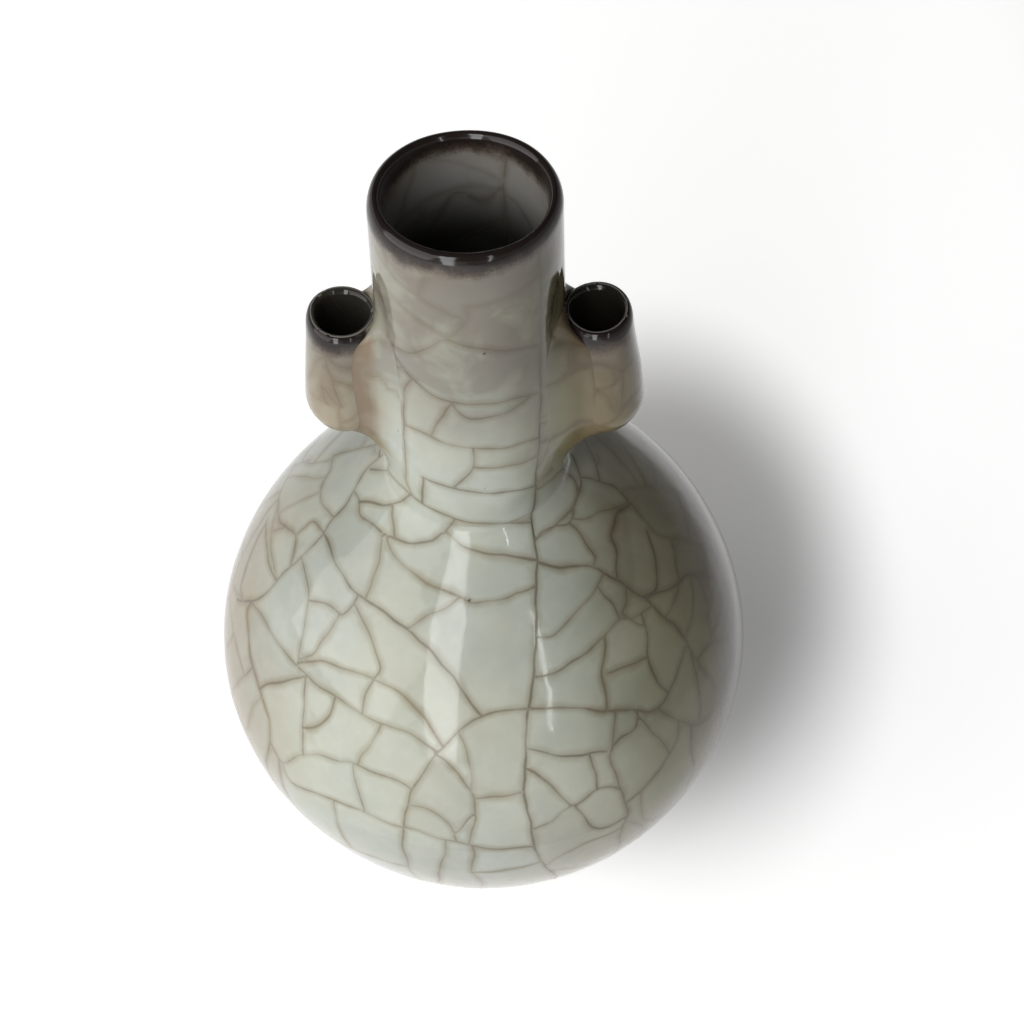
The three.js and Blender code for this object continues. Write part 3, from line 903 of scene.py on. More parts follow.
laid_groups = [(shoulder_cracks, 0.82, 0.45, wall_along), (belly_cracks, 0.66, 0.7, wall_along),
               (right_cracks, 0.78, 0.3, wall_along), (neck_cracks, 0.7, 0.5, wall_along),
               (left_cracks, 0.62, 0.85, wall_along), (bore_cracks, 1.0, 0.1, bore_along)]
for group, tone, brown, to_along in laid_groups:
    for crack in group:
        flat_crack = np.array([(math.radians(azimuth), to_along(height)) for azimuth, height in crack])
        middle = flat_crack.mean(0)
        if middle[0] < seam_across(middle[1]):
            flat_crack = flat_crack + whole_turn
        wall_net.lay(flat_crack, tone, brown)

lip_along = wall.along[crest_index]


def wall_limit(centre):
    # the largest cell, in square millimetres, that the glaze leaves whole at a place
    azimuth = (math.degrees(centre[0]) + 180) % 360 - 180
    height = wall.section(centre[1])[1]
    drawn = -80 < azimuth < 66 and 34 < height < 140 and centre[1] < lip_along
    if centre[1] > lip_along:
        return 150
    if height > neck_joint:
        if -62 < azimuth < 46 and height < 150:
            return 420
        return 110 if height < 138 else 190
    if drawn and -30 < azimuth < 12 and 76 < height < 96:
        return 720
    if drawn:
        return 310
    return 170


def wall_stretch(centre):
    # the neck crackles in level bands
    return 0.42 if wall_along(neck_joint) < centre[1] < lip_along else 1.0


wall_net.fill(inside_wall, wall_limit, wall_stretch, tone=0.62)
wall_net.add_hairs(lambda points: inside_wall(points) & (np.cos(points[:, 0]) < 0.1), 0.3, 0.4)

# Beside a crack the skin has rows of points at these distances in mm. A row keeps at least a share
# of its distance from other cracks, and some mm from the piece's own level edges.
crack_rows = (0.17, 0.5, 1.25)
row_clear = 0.84
edge_clear = 0.12
# mm between plain points of the skin, with the mm that they keep from a crack
coarse_step = 2.3
middle_step = 1.1
fine_step = 0.5
step_clear = {coarse_step: 1.75, middle_step: 0.75, fine_step: 0.36}
# mm between the points of a level edge, and the mm that they keep from a crack that crosses it
edge_step = 1.3
edge_crossing_clear = 0.7
# mm from a crack up to which an edge's point lies on it, and past which the glaze counts as whole
on_crack = 0.09
far_from_crack = 3.0
# distance, darkness and brownness where two cracks cross, and the brownness of the long crack
where_cracks_cross = (0.0, 0.6, 0.3)
seam_brown = 0.1
# cells below this many square millimetres took on a stain of tea
small_cell = 26


def clip_line(points, values, low, high):
    # the stretches of a line between two places along the skin, cut exactly there
    stretches, current = [], []
    for (p, a), (q, b) in zip(zip(points, values), zip(points[1:], values[1:])):
        marks = [(0.0, p, a)]
        for level in (low, high):
            if (p[1] - level) * (q[1] - level) < 0:
                t = (level - p[1]) / (q[1] - p[1])
                marks.append((t, np.array([p[0] + (q[0] - p[0]) * t, level]), a + (b - a) * t))
        marks.append((1.0, q, b))
        marks.sort(key=lambda mark: mark[0])
        for (_, u, s), (_, w, e) in zip(marks, marks[1:]):
            if low <= (u[1] + w[1]) / 2 <= high:
                if not current:
                    current = [(u, s)]
                current.append((w, e))
            elif current:
                stretches.append(current)
                current = []
    if current:
        stretches.append(current)
    return [(np.array([p for p, _ in s]), np.array([v for _, v in s])) for s in stretches if len(s) > 1]


def dark_along(points, tone, rng):
    # a crack's darkness along its length: it comes and goes a little
    share = np.arange(len(points)) * 1.0
    wander = 0.16 * np.sin(share * 0.21 + rng.uniform(0, 6.28))
    wander = wander + 0.1 * np.sin(share * 0.57 + rng.uniform(0, 6.28))
    return np.clip(tone * (1 + wander), 0, 1.1)


def search_tree(spots):
    # holds places so that the nearest one is found quickly
    tree = kdtree.KDTree(len(spots))
    for i, spot in enumerate(spots):
        tree.insert(Vector(spot), i)
    tree.balance()
    return tree


def nearest_in(tree, spots):
    # for each spot the number of the tree's nearest one, and how far away it is
    found = [tree.find(Vector(spot)) for spot in spots]
    return np.array([f[1] for f in found], int), np.array([f[2] for f in found])


def skin_normals(place, flat, step):
    # the outward directions of a skin at flat points, from its slope a step to each side
    east = place(flat + step * np.array([1, 0])) - place(flat - step * np.array([1, 0]))
    north = place(flat + step * np.array([0, 1])) - place(flat - step * np.array([0, 1]))
    normals = np.cross(east, north)
    return normals / np.maximum(np.linalg.norm(normals, axis=1)[:, None], 1e-12)


def skin_object(name, spots, faces, values, normals):
    # a skin's mesh with its values at each point, which the glaze's material reads
    mesh = bpy.data.meshes.new(name)
    mesh.from_pydata([Vector(p) * MM for p in spots], [], faces)
    for label, column in values.items():
        layer = mesh.attributes.new(label, "FLOAT", "POINT")
        layer.data.foreach_set("value", column.astype(np.float32))
    layer = mesh.attributes.new("glaze_normal", "FLOAT_VECTOR", "POINT")
    layer.data.foreach_set("vector", normals.astype(np.float32).ravel())
    piece = bpy.data.objects.new(name, mesh)
    bpy.context.scene.collection.objects.link(piece)
    bpy.ops.object.select_all(action="DESELECT")
    piece.select_set(True)
    bpy.context.view_layer.objects.active = piece
    return piece


class CrackField:
    # all cracks of a net with their darkness, and the distance from any place to the nearest
    def __init__(self, net, place, opened, fade):
        rng = np.random.default_rng(5)
        self.seam_tone = dark_along(opened, 0.98, rng) * fade(opened)
        self.lines = []
        for line in net.lines:
            tones = dark_along(line["points"], line["tone"], rng) * fade(line["points"])
            self.lines.append((line["points"], tones, line["brown"]))
        dense, darkness, brown = [], [], []
        for points, tones, line_brown in self.lines + [(opened, self.seam_tone, seam_brown)]:
            steps = np.linspace(0, len(points) - 1, 4 * (len(points) - 1) + 1)
            index = np.arange(len(points))
            fine = np.stack([np.interp(steps, index, points[:, k]) for k in (0, 1)], 1)
            dense.append(place(fine))
            darkness.append(np.interp(steps, index, tones))
            brown.append(np.full(len(steps), line_brown))
        self.darkness = np.concatenate(darkness)
        self.brown = np.concatenate(brown)
        self.tree = search_tree(np.concatenate(dense))

    def near(self, spots):
        index, gaps = nearest_in(self.tree, spots)
        return gaps, self.darkness[index], self.brown[index]


def glazed_skin(name, field, scale, place, window, left, inside, rim_distance, spacing):
    # cuts the piece's share of the skin into triangles that follow its cracks; left is the line
    # that the skin is opened along
    low, high = window
    rows, sides = [], []
    candidates = []
    crossings = {low: [], high: []}

    def follow(points, tones, brown):
        # lays a crack's own points, joined to a line, and the rows beside it
        first = len(rows)
        rows.extend((p[0], p[1], 0.0, t, brown) for p, t in zip(points, tones))
        sides.extend((i, i + 1) for i in range(first, len(rows) - 1))
        tangent = np.gradient(points, axis=0)
        tangent /= np.maximum(np.hypot(*tangent.T)[:, None], 1e-9)
        side = np.stack([-tangent[:, 1], tangent[:, 0]], 1)
        sizes = scale(points)
        for offset in crack_rows:
            for way in (1, -1):
                moved = points + side * (way * offset / sizes)[:, None]
                candidates.append((moved, offset, tones, brown))
        for end in (0, -1):
            for level in (low, high):
                if abs(points[end, 1] - level) < 1e-9:
                    crossings[level].append(points[end, 0])

    for points, tones, brown in field.lines:
        for part, part_tones in clip_line(points, tones, low, high):
            follow(part, part_tones, brown)
    for part, part_tones in clip_line(left, field.seam_tone, low, high):
        follow(part, part_tones, seam_brown)
        follow(part + whole_turn, part_tones, seam_brown)

    moved = np.concatenate([c[0] for c in candidates])
    offsets = np.concatenate([np.full(len(c[0]), c[1]) for c in candidates])
    tones = np.concatenate([c[2] for c in candidates])
    browns = np.concatenate([np.full(len(c[0]), c[3]) for c in candidates])
    sizes = scale(moved)
    keep = inside(moved) & (np.minimum(moved[:, 1] - low, high - moved[:, 1]) * sizes > edge_clear)
    moved, offsets, tones, browns = moved[keep], offsets[keep], tones[keep], browns[keep]
    gaps, _, _ = field.near(place(moved))
    keep = gaps > row_clear * offsets
    for p, distance, tone, brown in zip(moved[keep], offsets[keep], tones[keep], browns[keep]):
        rows.append((p[0], p[1], distance, tone, brown))

    for level in (low, high):
        size = float(scale(np.array([[0, level]]))[0])
        start = float(np.interp(level, left[:, 1], left[:, 0]))
        count = int(2 * math.pi * size / edge_step)
        ring = set(np.linspace(start, start + whole_turn[0], count + 1)[1:-1].tolist())
        marks = sorted(crossings[level] + [start, start + whole_turn[0]])
        ring = [a for a in ring if min(abs(a - m) for m in marks) * size > edge_crossing_clear]
        for mark in marks:
            for offset in crack_rows[:2]:
                for way in (1, -1):
                    spot = mark + way * offset / size
                    clear = min(abs(spot - m) for m in marks) * size > row_clear * offset
                    if clear and start < spot < start + whole_turn[0]:
                        ring.append(spot)
        ring = np.array(sorted(set(ring + marks)))
        ring = ring[np.concatenate([[True], np.diff(ring) * size > 0.02])]
        ring_points_flat = np.stack([ring, np.full_like(ring, level)], 1)
        gaps, tone, brown = field.near(place(ring_points_flat))
        first = len(rows)
        for p, g, t, b in zip(ring_points_flat, gaps, tone, brown):
            rows.append((p[0], p[1], 0.0 if g < on_crack else min(g, far_from_crack), t, b))
        sides.extend((i, i + 1) for i in range(first, len(rows) - 1))

    for step_size, clear in step_clear.items():
        plain = []
        along = low
        odd = 0
        while along < high:
            size = float(scale(np.array([[0, along]]))[0])
            step = step_size / size
            start = float(np.interp(along, left[:, 1], left[:, 0]))
            across = np.arange(start + (0.5 if odd else 0.02) * step, start + whole_turn[0], step)
            room = min(along - low, high - along) * size
            if room > 0.35 * step_size:
                plain.append(np.stack([across, np.full_like(across, along)], 1))
            along += 0.87 * step
            odd = 1 - odd
        plain = np.concatenate(plain)
        wanted = spacing(plain)
        plain = plain[inside(plain) & (wanted < step_size * 1.5) & (wanted >= step_size * 0.7)]
        if not len(plain):
            continue
        gaps, tone, brown = field.near(place(plain))
        keep = gaps > clear
        for p, g, t, b in zip(plain[keep], gaps[keep], tone[keep], brown[keep]):
            rows.append((p[0], p[1], min(g, far_from_crack), t, b))

    table = np.array(rows)
    flat, edges, faces, sources, edge_sources, _ = delaunay_2d_cdt(
        [Vector(p) for p in table[:, :2]], sides, [], 0, 1e-6)
    flat = np.array([tuple(p) for p in flat])
    faces = np.array(faces)
    values = np.zeros((len(flat), 3))
    for i, source in enumerate(sources):
        if source:
            values[i] = table[min(source, key=lambda k: table[k, 2]), 2:]
        else:
            values[i] = where_cracks_cross
    cell = join_cells(flat, faces, edges, edge_sources, inside)
    middle = flat[faces].mean(1)
    cell[(middle[:, 1] < low) | (middle[:, 1] > high)] = -1
    kept = cell >= 0
    faces = faces[kept]
    cell = cell[kept]
    corners = flat[faces]
    one, two = corners[:, 1] - corners[:, 0], corners[:, 2] - corners[:, 0]
    turned_area = (one[:, 0] * two[:, 1] - one[:, 1] * two[:, 0]) / 2
    areas = np.abs(turned_area) * scale(corners.mean(1)) ** 2
    solid = areas > 1e-7
    faces, cell, areas, turned_area = faces[solid], cell[solid], areas[solid], turned_area[solid]
    backwards = turned_area < 0
    faces[backwards] = faces[backwards][:, ::-1]
    darkening = np.zeros(len(flat))
    weight = np.zeros(len(flat))
    for number in np.unique(cell):
        part = np.nonzero(cell == number)[0]
        area = areas[part].sum()
        centre = flat[faces[part]].reshape(-1, 2).mean(0)
        chance = (math.sin(centre[0] * 91.7 + centre[1] * 47.3) * 437.5) % 1
        small = min(max((small_cell - area) / 22, 0), 1)
        value = max(small * (0.55 + 0.45 * chance), 0.34 * max(chance - 0.55, 0) / 0.45)
        spots = np.unique(faces[part])
        darkening[spots] += value
        weight[spots] += 1
    darkening /= np.maximum(weight, 1)
    used = np.unique(faces)
    number_of = np.full(len(flat), -1)
    number_of[used] = np.arange(len(used))
    flat = flat[used]
    values = values[used]
    darkening = darkening[used]
    faces = number_of[faces]

    nudge = 0.25
    normals = skin_normals(place, flat, (nudge / scale(flat))[:, None])
    piece = skin_object(name, place(flat), faces.tolist(), {
        "crack_mm": values[:, 0],
        "crack_tone": values[:, 1],
        "crack_brown": values[:, 2],
        "cell_stain_and_shade": darkening,
        "rim_mm": rim_distance(flat),
    }, normals)
    bpy.ops.object.mode_set(mode="EDIT")
    bpy.ops.mesh.select_all(action="SELECT")
    bpy.ops.mesh.remove_doubles(threshold=0.012 * MM)
    bpy.ops.object.mode_set(mode="OBJECT")
    return piece


def finish_glazed(piece, skin_count):
    # smooths the piece, keeps the skin's own normals and clears the crack marks off the hidden faces
    bpy.ops.object.mode_set(mode="OBJECT")
    mesh = piece.data
    for face in mesh.polygons:
        face.use_smooth = True
    count = len(mesh.vertices)
    plain = {"crack_mm": far_from_crack, "crack_tone": 0.0, "crack_brown": 0.0, "cell_stain_and_shade": 0.2,
             "rim_mm": 60.0}
    for label, value in plain.items():
        column = np.zeros(count, np.float32)
        mesh.attributes[label].data.foreach_get("value", column)
        column[skin_count:] = value
        mesh.attributes[label].data.foreach_set("value", column)
    own = np.zeros(count * 3, np.float32)
    mesh.attributes["glaze_normal"].data.foreach_get("vector", own)
    own = own.reshape(-1, 3)
    plain_normals = np.zeros(count * 3, np.float32)
    mesh.vertices.foreach_get("normal", plain_normals)
    own[skin_count:] = plain_normals.reshape(-1, 3)[skin_count:]
    mesh.attributes.remove(mesh.attributes["glaze_normal"])
    mesh.normals_split_custom_set_from_vertices([Vector(n) for n in own])


def wall_fade(points):
    # cracks are fainter high on the neck and in the bore
    height = wall.section(points[:, 1])[1]
    up_neck = np.clip((height - 140) / 16, 0, 1) * (points[:, 1] < lip_along)
    in_bore = (points[:, 1] >= lip_along) * 1.0
    return 1 - 0.6 * up_neck - 0.4 * in_bore


def wall_rim_distance(flat):
    # distance to the crest of the lip, negative on the bore side
    return crest_length - wall.section(flat[:, 1])[2]


def wall_spacing(points):
    # how far apart the skin's points need to be: close on the lip and on the pared leaves
    height = wall.section(points[:, 1])[1]
    from_crest = np.abs(crest_length - wall.section(points[:, 1])[2])
    spacing = np.where(from_crest < 3.4, fine_step, np.where(from_crest < 9, middle_step, coarse_step))
    return np.where((height > 142) & (from_crest < 30) & (leaf_depth(points) > 0), fine_step, spacing)


wall_field = CrackField(wall_net, place_wall, seam, wall_fade)


def wall_piece(name, low, high):
    # one thrown section's share of the wall's skin, between two places along it
    return glazed_skin(name, wall_field, wall.scale, place_wall, (float(low), float(high)), seam,
                       inside_wall, wall_rim_distance, wall_spacing)


# Glaze: thick, grey-green and glossy, in a crackle whose older lines were stained dark with ink
# and whose later ones took on a brown from tea. It ran thin over the three rims, where the
# iron-rich clay shows through as brown-black.
def new_group(name, inputs, outputs):
    # a node group with its two end nodes
    group = bpy.data.node_groups.new(name, "ShaderNodeTree")
    for label, kind, value in inputs:
        socket = group.interface.new_socket(name=label, in_out="INPUT", socket_type=kind)
        if value is not None:
            socket.default_value = value
    for label, kind in outputs:
        group.interface.new_socket(name=label, in_out="OUTPUT", socket_type=kind)
    return group, group.nodes.new("NodeGroupInput"), group.nodes.new("NodeGroupOutput")


celadon_green = (0.58, 0.595, 0.495, 1)
celadon_blue = (0.515, 0.55, 0.495, 1)
celadon_beige = (0.575, 0.535, 0.43, 1)
milk_white = (0.68, 0.69, 0.62, 1)
side_beige_and_shade = (0.40, 0.315, 0.205, 1)
ink_line = (0.07, 0.065, 0.058, 1)
tea_line = (0.19, 0.145, 0.10, 1)
tea_halo = (0.64, 0.55, 0.44, 1)
tea_stain_and_shade = (0.27, 0.20, 0.135, 1)
lip_black = (0.018, 0.013, 0.012, 1)
lip_brown = (0.078, 0.055, 0.044, 1)
lip_thin = (0.21, 0.175, 0.145, 1)
neck_grey = (0.235, 0.205, 0.17, 1)
neck_green = (0.33, 0.32, 0.255, 1)
bore_grey_and_shade = (0.33, 0.325, 0.305, 1)
bore_deep_shade = (0.012, 0.011, 0.009, 1)
shade_olive = (0.48, 0.445, 0.325, 1)
pooled_glaze = (0.27, 0.20, 0.08, 1)

# Group crackle_lines draws the cracks from the distance to them, and group glaze_skin gives the
# colour between them, the thin rims, the pits, and painted shade at the edges, on the right, under
# the lugs and down the bores.
crackle_group, group_in, group_out = new_group(
    "crackle_lines",
    [("Place", "NodeSocketVector", None), ("Distance", "NodeSocketFloat", 3.0),
     ("Tone", "NodeSocketFloat", 0.0), ("Brown", "NodeSocketFloat", 0.0)],
    [("Line", "NodeSocketFloat"), ("Halo", "NodeSocketFloat"), ("Line Colour", "NodeSocketColor")])
w = Wiring(crackle_group)
place_in, distance_in = group_in.outputs["Place"], group_in.outputs["Distance"]
tone_in, brown_in = group_in.outputs["Tone"], group_in.outputs["Brown"]
ragged = w.noise(place_in, 1300, 3, 0.6)
slow = w.noise(place_in, 170, 2, 0.5)
wandering = w.math("ADD", distance_in, w.math("MULTIPLY", w.math("SUBTRACT", ragged, 0.5), 0.16))
strength = w.math("MULTIPLY", tone_in, w.ramp(slow, 0.28, 0.64, 0.6, 1.1))
half_width = w.math("MULTIPLY_ADD", strength, 0.36, 0.13)
core = w.ramp(wandering, 0.0, half_width, 1.0, 0.0)
line = w.math("MULTIPLY", core, w.ramp(strength, 0.0, 1.0, 0.06, 0.64))
halo_reach = w.math("MULTIPLY_ADD", slow, 2.6, 0.25)
halo_fall = w.ramp(wandering, 0.0, halo_reach, 1.0, 0.0)
halo = w.math("MULTIPLY", w.math("MULTIPLY", halo_fall, w.math("POWER", strength, 0.6)),
              w.math("MULTIPLY_ADD", brown_in, 0.4, 0.62))
line_colour = w.mix(w.math("MULTIPLY", brown_in, w.ramp(slow, 0.3, 0.7, 0.6, 1.1)), ink_line, tea_line)
for label, value in (("Line", line), ("Halo", halo), ("Line Colour", line_colour)):
    w.set_input(group_out.inputs[label], value)

skin_group, group_in, group_out = new_group(
    "glaze_skin",
    [("Place", "NodeSocketVector", None), ("Stain And Shade", "NodeSocketFloat", 0.0),
     ("Rim", "NodeSocketFloat", 60.0)],
    [("Colour", "NodeSocketColor"), ("Thin", "NodeSocketFloat"), ("Pits", "NodeSocketFloat")])
w = Wiring(skin_group)
place_in, rim_in = group_in.outputs["Place"], group_in.outputs["Rim"]
stain_and_shade_in = group_in.outputs["Stain And Shade"]
clouds = w.noise(place_in, 34, 3, 0.55)
wide_clouds = w.noise(place_in, 13, 2, 0.5)
milky = w.noise(place_in, 190, 4, 0.6)
colour = w.mix(w.ramp(clouds, 0.36, 0.66), celadon_green, celadon_blue)
colour = w.mix(w.ramp(wide_clouds, 0.42, 0.68, 0.0, 0.8), colour, celadon_beige)
colour = w.mix(w.ramp(milky, 0.38, 0.68, 0.0, 0.3), colour, milk_white)
from_middle = w.split(place_in)
x_out, z_out = from_middle["X"], from_middle["Z"]
cloud_shift = w.math("MULTIPLY", w.math("SUBTRACT", clouds, 0.5), 0.02)
wider_on_neck = w.ramp(z_out, 0.098, 0.116, 1.0, 2.5)
x_clouded = w.math("ADD", w.math("MULTIPLY", x_out, wider_on_neck), cloud_shift)
# towards both edges, as seen from the front, a beige tint that is darkened as painted shade
to_side_beige_and_shade = w.ramp(w.math("ABSOLUTE", x_clouded), 0.034, 0.052, 0.0, 0.85)
colour = w.mix(to_side_beige_and_shade, colour, side_beige_and_shade)
up_neck = w.ramp(w.math("ADD", z_out, cloud_shift), 0.112, 0.150, 0.0, 0.88)
neck_patches = w.mix(w.ramp(w.noise(place_in, 105, 3, 0.5, 0.6), 0.4, 0.62), neck_grey, neck_green)
colour = w.mix(up_neck, colour, neck_patches)
# painted shade on the shoulder under the lugs, stronger on the right, tinted tea-brown
shoulder = w.math("MULTIPLY", w.ramp(z_out, 0.080, 0.098), w.ramp(z_out, 0.106, 0.112, 1.0, 0.0))
beside = w.math("ADD", w.ramp(x_out, 0.014, 0.034, 0.0, 0.62), w.ramp(x_out, -0.040, -0.020, 0.26, 0.0))
under_lug_shade_patches = w.ramp(w.noise(place_in, 62, 3, 0.55), 0.38, 0.6, 0.4, 1.0)
colour = w.mix(w.math("MULTIPLY", w.math("MULTIPLY", shoulder, beside), under_lug_shade_patches), colour, tea_stain_and_shade)
# painted shade on the right side of the body and neck, lighter on the lugs, tinted olive
on_lug = w.math("MULTIPLY", w.ramp(x_out, 0.018, 0.021), w.ramp(z_out, 0.112, 0.118))
off_lug = w.math("MULTIPLY_ADD", on_lug, -0.16, 1.0)
right_painted_shade = w.math("MULTIPLY", w.ramp(x_clouded, 0.006, 0.037), off_lug)
colour = w.mix(right_painted_shade, colour, shade_olive, "MULTIPLY")
far_right_painted_shade = w.math("MULTIPLY", w.ramp(x_clouded, 0.030, 0.050, 0.0, 0.8),
                   w.math("MULTIPLY_ADD", on_lug, -0.75, 1.0))
colour = w.mix(far_right_painted_shade, colour, shade_olive, "MULTIPLY")
# the tea stain of small cells, and on the coils a brown darkening in the crease and painted shade at the top
uneven = w.ramp(w.noise(place_in, 140, 3, 0.55), 0.3, 0.62, 0.45, 1.0)
stain_and_shade_patch = w.math("MULTIPLY", stain_and_shade_in, uneven)
colour = w.mix(w.math("MULTIPLY", stain_and_shade_patch, 0.48), colour, tea_stain_and_shade)
rim_noise = w.noise(place_in, 330, 4, 0.6)
rim_runs = w.noise(place_in, 95, 2, 0.5)
rim_grit = w.noise(place_in, 1700, 2, 0.6)
outside = w.math("MAXIMUM", rim_in, 0.0)
inside = w.math("MAXIMUM", w.math("MULTIPLY", rim_in, -1.0), 0.0)
wobble = w.math("ADD", w.math("MULTIPLY", w.math("SUBTRACT", rim_noise, 0.5), 2.8),
                w.math("MULTIPLY", w.math("SUBTRACT", rim_runs, 0.5), 2.6))
wobble = w.math("ADD", wobble, w.math("MULTIPLY", w.math("SUBTRACT", rim_grit, 0.5), 1.3))
rim_place = w.math("ADD", w.math("ADD", outside, w.math("MULTIPLY", inside, 0.95)), wobble)
# painted shade inside the bores: a grey just inside the lip, darker with depth
bore_painted_shade = w.mix(w.ramp(inside, 6.0, 24.0), bore_grey_and_shade, bore_deep_shade)
colour = w.mix(w.ramp(inside, 0.2, 3.0, 0.0, 0.94), colour, bore_painted_shade)
thin = w.ramp(rim_place, 3.0, 10.5, 1.0, 0.0)
brown_edge = w.ramp(rim_place, 2.9, 5.3, 1.0, 0.0)
black_edge = w.ramp(rim_place, 1.6, 4.0, 1.0, 0.0)
colour = w.mix(w.math("MULTIPLY", thin, 0.6), colour, lip_thin)
colour = w.mix(w.math("MULTIPLY", brown_edge, 0.93), colour, lip_brown)
colour = w.mix(w.math("MULTIPLY", black_edge, 0.95), colour, lip_black)
pit_size = w.ramp(w.noise(place_in, 47, 1, 0.5), 0.6, 0.8, 0.0121, 0.05)
pits = w.ramp(w.cells(place_in, 115), 0.012, pit_size, 1.0, 0.0)
fine_pits = w.ramp(w.cells(place_in, 900), 0.14, 0.3, 1.0, 0.0)
# (turn from the front in degrees, height in mm, reach in mm) of the burst bubbles in the glaze
for azimuth, height, reach in ((8, 147.4, 1.5), (13, 146.6, 0.9), (-50, 122.4, 1.3), (-61, 143.5, 0.8),
                               (-49, 74.6, 0.7), (-15.6, 78.6, 0.7), (-5.5, 94.3, 0.9), (62, 139, 0.9)):
    pit_radius = float(outer_radius(height))
    turn = math.radians(azimuth)
    bubble = Vector((pit_radius * math.sin(turn), -pit_radius * math.cos(turn), height)) * MM
    burst = w.ramp(w.vector("DISTANCE", place_in, bubble), reach * 0.5 * MM, reach * MM, 1.0, 0.0)
    pits = w.math("MAXIMUM", pits, w.math("MULTIPLY", burst, fine_pits))
colour = w.mix(w.math("MULTIPLY", pits, 0.85), colour, (0.05, 0.04, 0.03, 1))
for label, value in (("Colour", colour), ("Thin", brown_edge), ("Pits", pits)):
    w.set_input(group_out.inputs[label], value)

celadon = bpy.data.materials.new("crackled_celadon")
celadon.use_nodes = True
tree = celadon.node_tree
w = Wiring(tree)
shader = tree.nodes["Principled BSDF"]
spot = w.place()
crackle = tree.nodes.new("ShaderNodeGroup")
crackle.node_tree = crackle_group
skin = tree.nodes.new("ShaderNodeGroup")
skin.node_tree = skin_group
for socket, value in ((crackle.inputs["Place"], spot), (skin.inputs["Place"], spot),
                      (crackle.inputs["Distance"], w.attribute("crack_mm")),
                      (crackle.inputs["Tone"], w.attribute("crack_tone")),
                      (crackle.inputs["Brown"], w.attribute("crack_brown")),
                      (skin.inputs["Stain And Shade"], w.attribute("cell_stain_and_shade")),
                      (skin.inputs["Rim"], w.attribute("rim_mm"))):
    tree.links.new(value, socket)
colour = skin.outputs["Colour"]
patchy = w.ramp(w.noise(spot, 260, 3), 0.3, 0.65, 0.3, 1.0)
pool = w.math("MULTIPLY", w.attribute("pool"), patchy)
colour = w.mix(pool, colour, pooled_glaze)
colour = w.mix(crackle.outputs["Halo"], colour, tea_halo, "MULTIPLY")
on_lip = w.ramp(skin.outputs["Thin"], 0.1, 0.9, 1.0, 0.15)
shown = w.math("MULTIPLY", crackle.outputs["Line"], on_lip)
colour = w.mix(shown, colour, crackle.outputs["Line Colour"])
tree.links.new(colour, shader.inputs["Base Color"])
smooth = w.noise(spot, 330, 2)
gloss = w.ramp(smooth, 0.3, 0.7, 0.05, 0.1)
gloss = w.math("ADD", gloss, w.math("MULTIPLY", crackle.outputs["Line"], 0.22))
gloss = w.math("ADD", gloss, w.math("MULTIPLY", skin.outputs["Thin"], 0.03))
tree.links.new(gloss, shader.inputs["Roughness"])
shader.inputs["IOR"].default_value = 1.48
shader.inputs["Specular IOR Level"].default_value = 0.42
swell = w.math("MULTIPLY", w.noise(spot, 95, 2, 0.45), 0.00016)
peel = w.math("MULTIPLY", w.noise(spot, 620, 2, 0.5), 0.000006)
groove = w.math("MULTIPLY", crackle.outputs["Line"], -0.000008)
pit = w.math("MULTIPLY", skin.outputs["Pits"], -0.00012)
height = w.math("ADD", w.math("ADD", swell, peel), w.math("ADD", groove, pit))
tree.links.new(w.bump(height, 1.0, 1.0), shader.inputs["Normal"])

# Lower body: the thrown bowl. Its skin runs from the foot to the waist; inside the foot it is
# closed by a flat base, and at the waist a rebate holds the slip under the upper half.
lower_body = wall_piece("lower_body_glazed", wall_along(foot_height), wall_along(waist_height))
skin_points = len(lower_body.data.vertices)
choose_open_edges(lower_body, highest=waist_height - 5)
pull_ring([
    (seat_radius, foot_height),
    (seat_radius - foot_width, foot_height + 0.05),
    (12.0, foot_height + 0.35),
    (6.0, foot_height + 0.5),
    (0.6, foot_height + 0.55),
])
bpy.ops.mesh.merge(type="CENTER")
choose_open_edges(lower_body, lowest=waist_height - 5)
waist_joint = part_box("waist_slip_joint")[0].z / MM
rebate_radius = body_radius - glaze_over_joint
bowl_steps = [(body_radius, waist_height), (rebate_radius, waist_height), (rebate_radius, waist_joint)]
for turn in np.radians(np.linspace(0, 88, 16)):
    bowl_height = waist_joint - (waist_joint - floor_height) * math.sin(turn)
    bowl_steps.append((float(inner_radius(bowl_height)), bowl_height))
bowl_steps.append((9.0, floor_height))
bowl_steps.append((0.6, floor_height))
pull_ring(bowl_steps)
bpy.ops.mesh.merge(type="CENTER")
finish_glazed(lower_body, skin_points)
lower_body.data.materials.append(celadon)
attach(lower_body, "root")
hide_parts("lower_body")

# Upper body: the shoulder, thrown apart and drawn in to a collar. Its wall is closed inside, and
# the glaze at its top laps over the slip that carries the neck.
upper_body = wall_piece("upper_body_glazed", wall_along(waist_height), wall_along(neck_joint))
skin_points = len(upper_body.data.vertices)
neck_slip_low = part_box("neck_slip_joint")[0].z / MM
collar_radius = float(outer_radius(neck_joint))
choose_open_edges(upper_body, highest=waist_height + 5)
shoulder_steps = [(body_radius, waist_height), (body_radius - body_wall, waist_height)]
for share in np.linspace(0.05, 1, 20):
    shoulder_height = waist_height + (neck_slip_low - waist_height) * share
    shoulder_steps.append((float(inner_radius(shoulder_height)), shoulder_height))
pull_ring(shoulder_steps)
choose_open_edges(upper_body, lowest=neck_joint - 1)
rebate_radius = collar_radius - glaze_over_joint
pull_ring([(collar_radius, neck_joint), (rebate_radius, neck_joint), (rebate_radius, neck_slip_low)])
choose_open_edges(upper_body)
bpy.ops.mesh.bridge_edge_loops()
finish_glazed(upper_body, skin_points)
upper_body.data.materials.append(celadon)
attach(upper_body, "root")
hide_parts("upper_body")

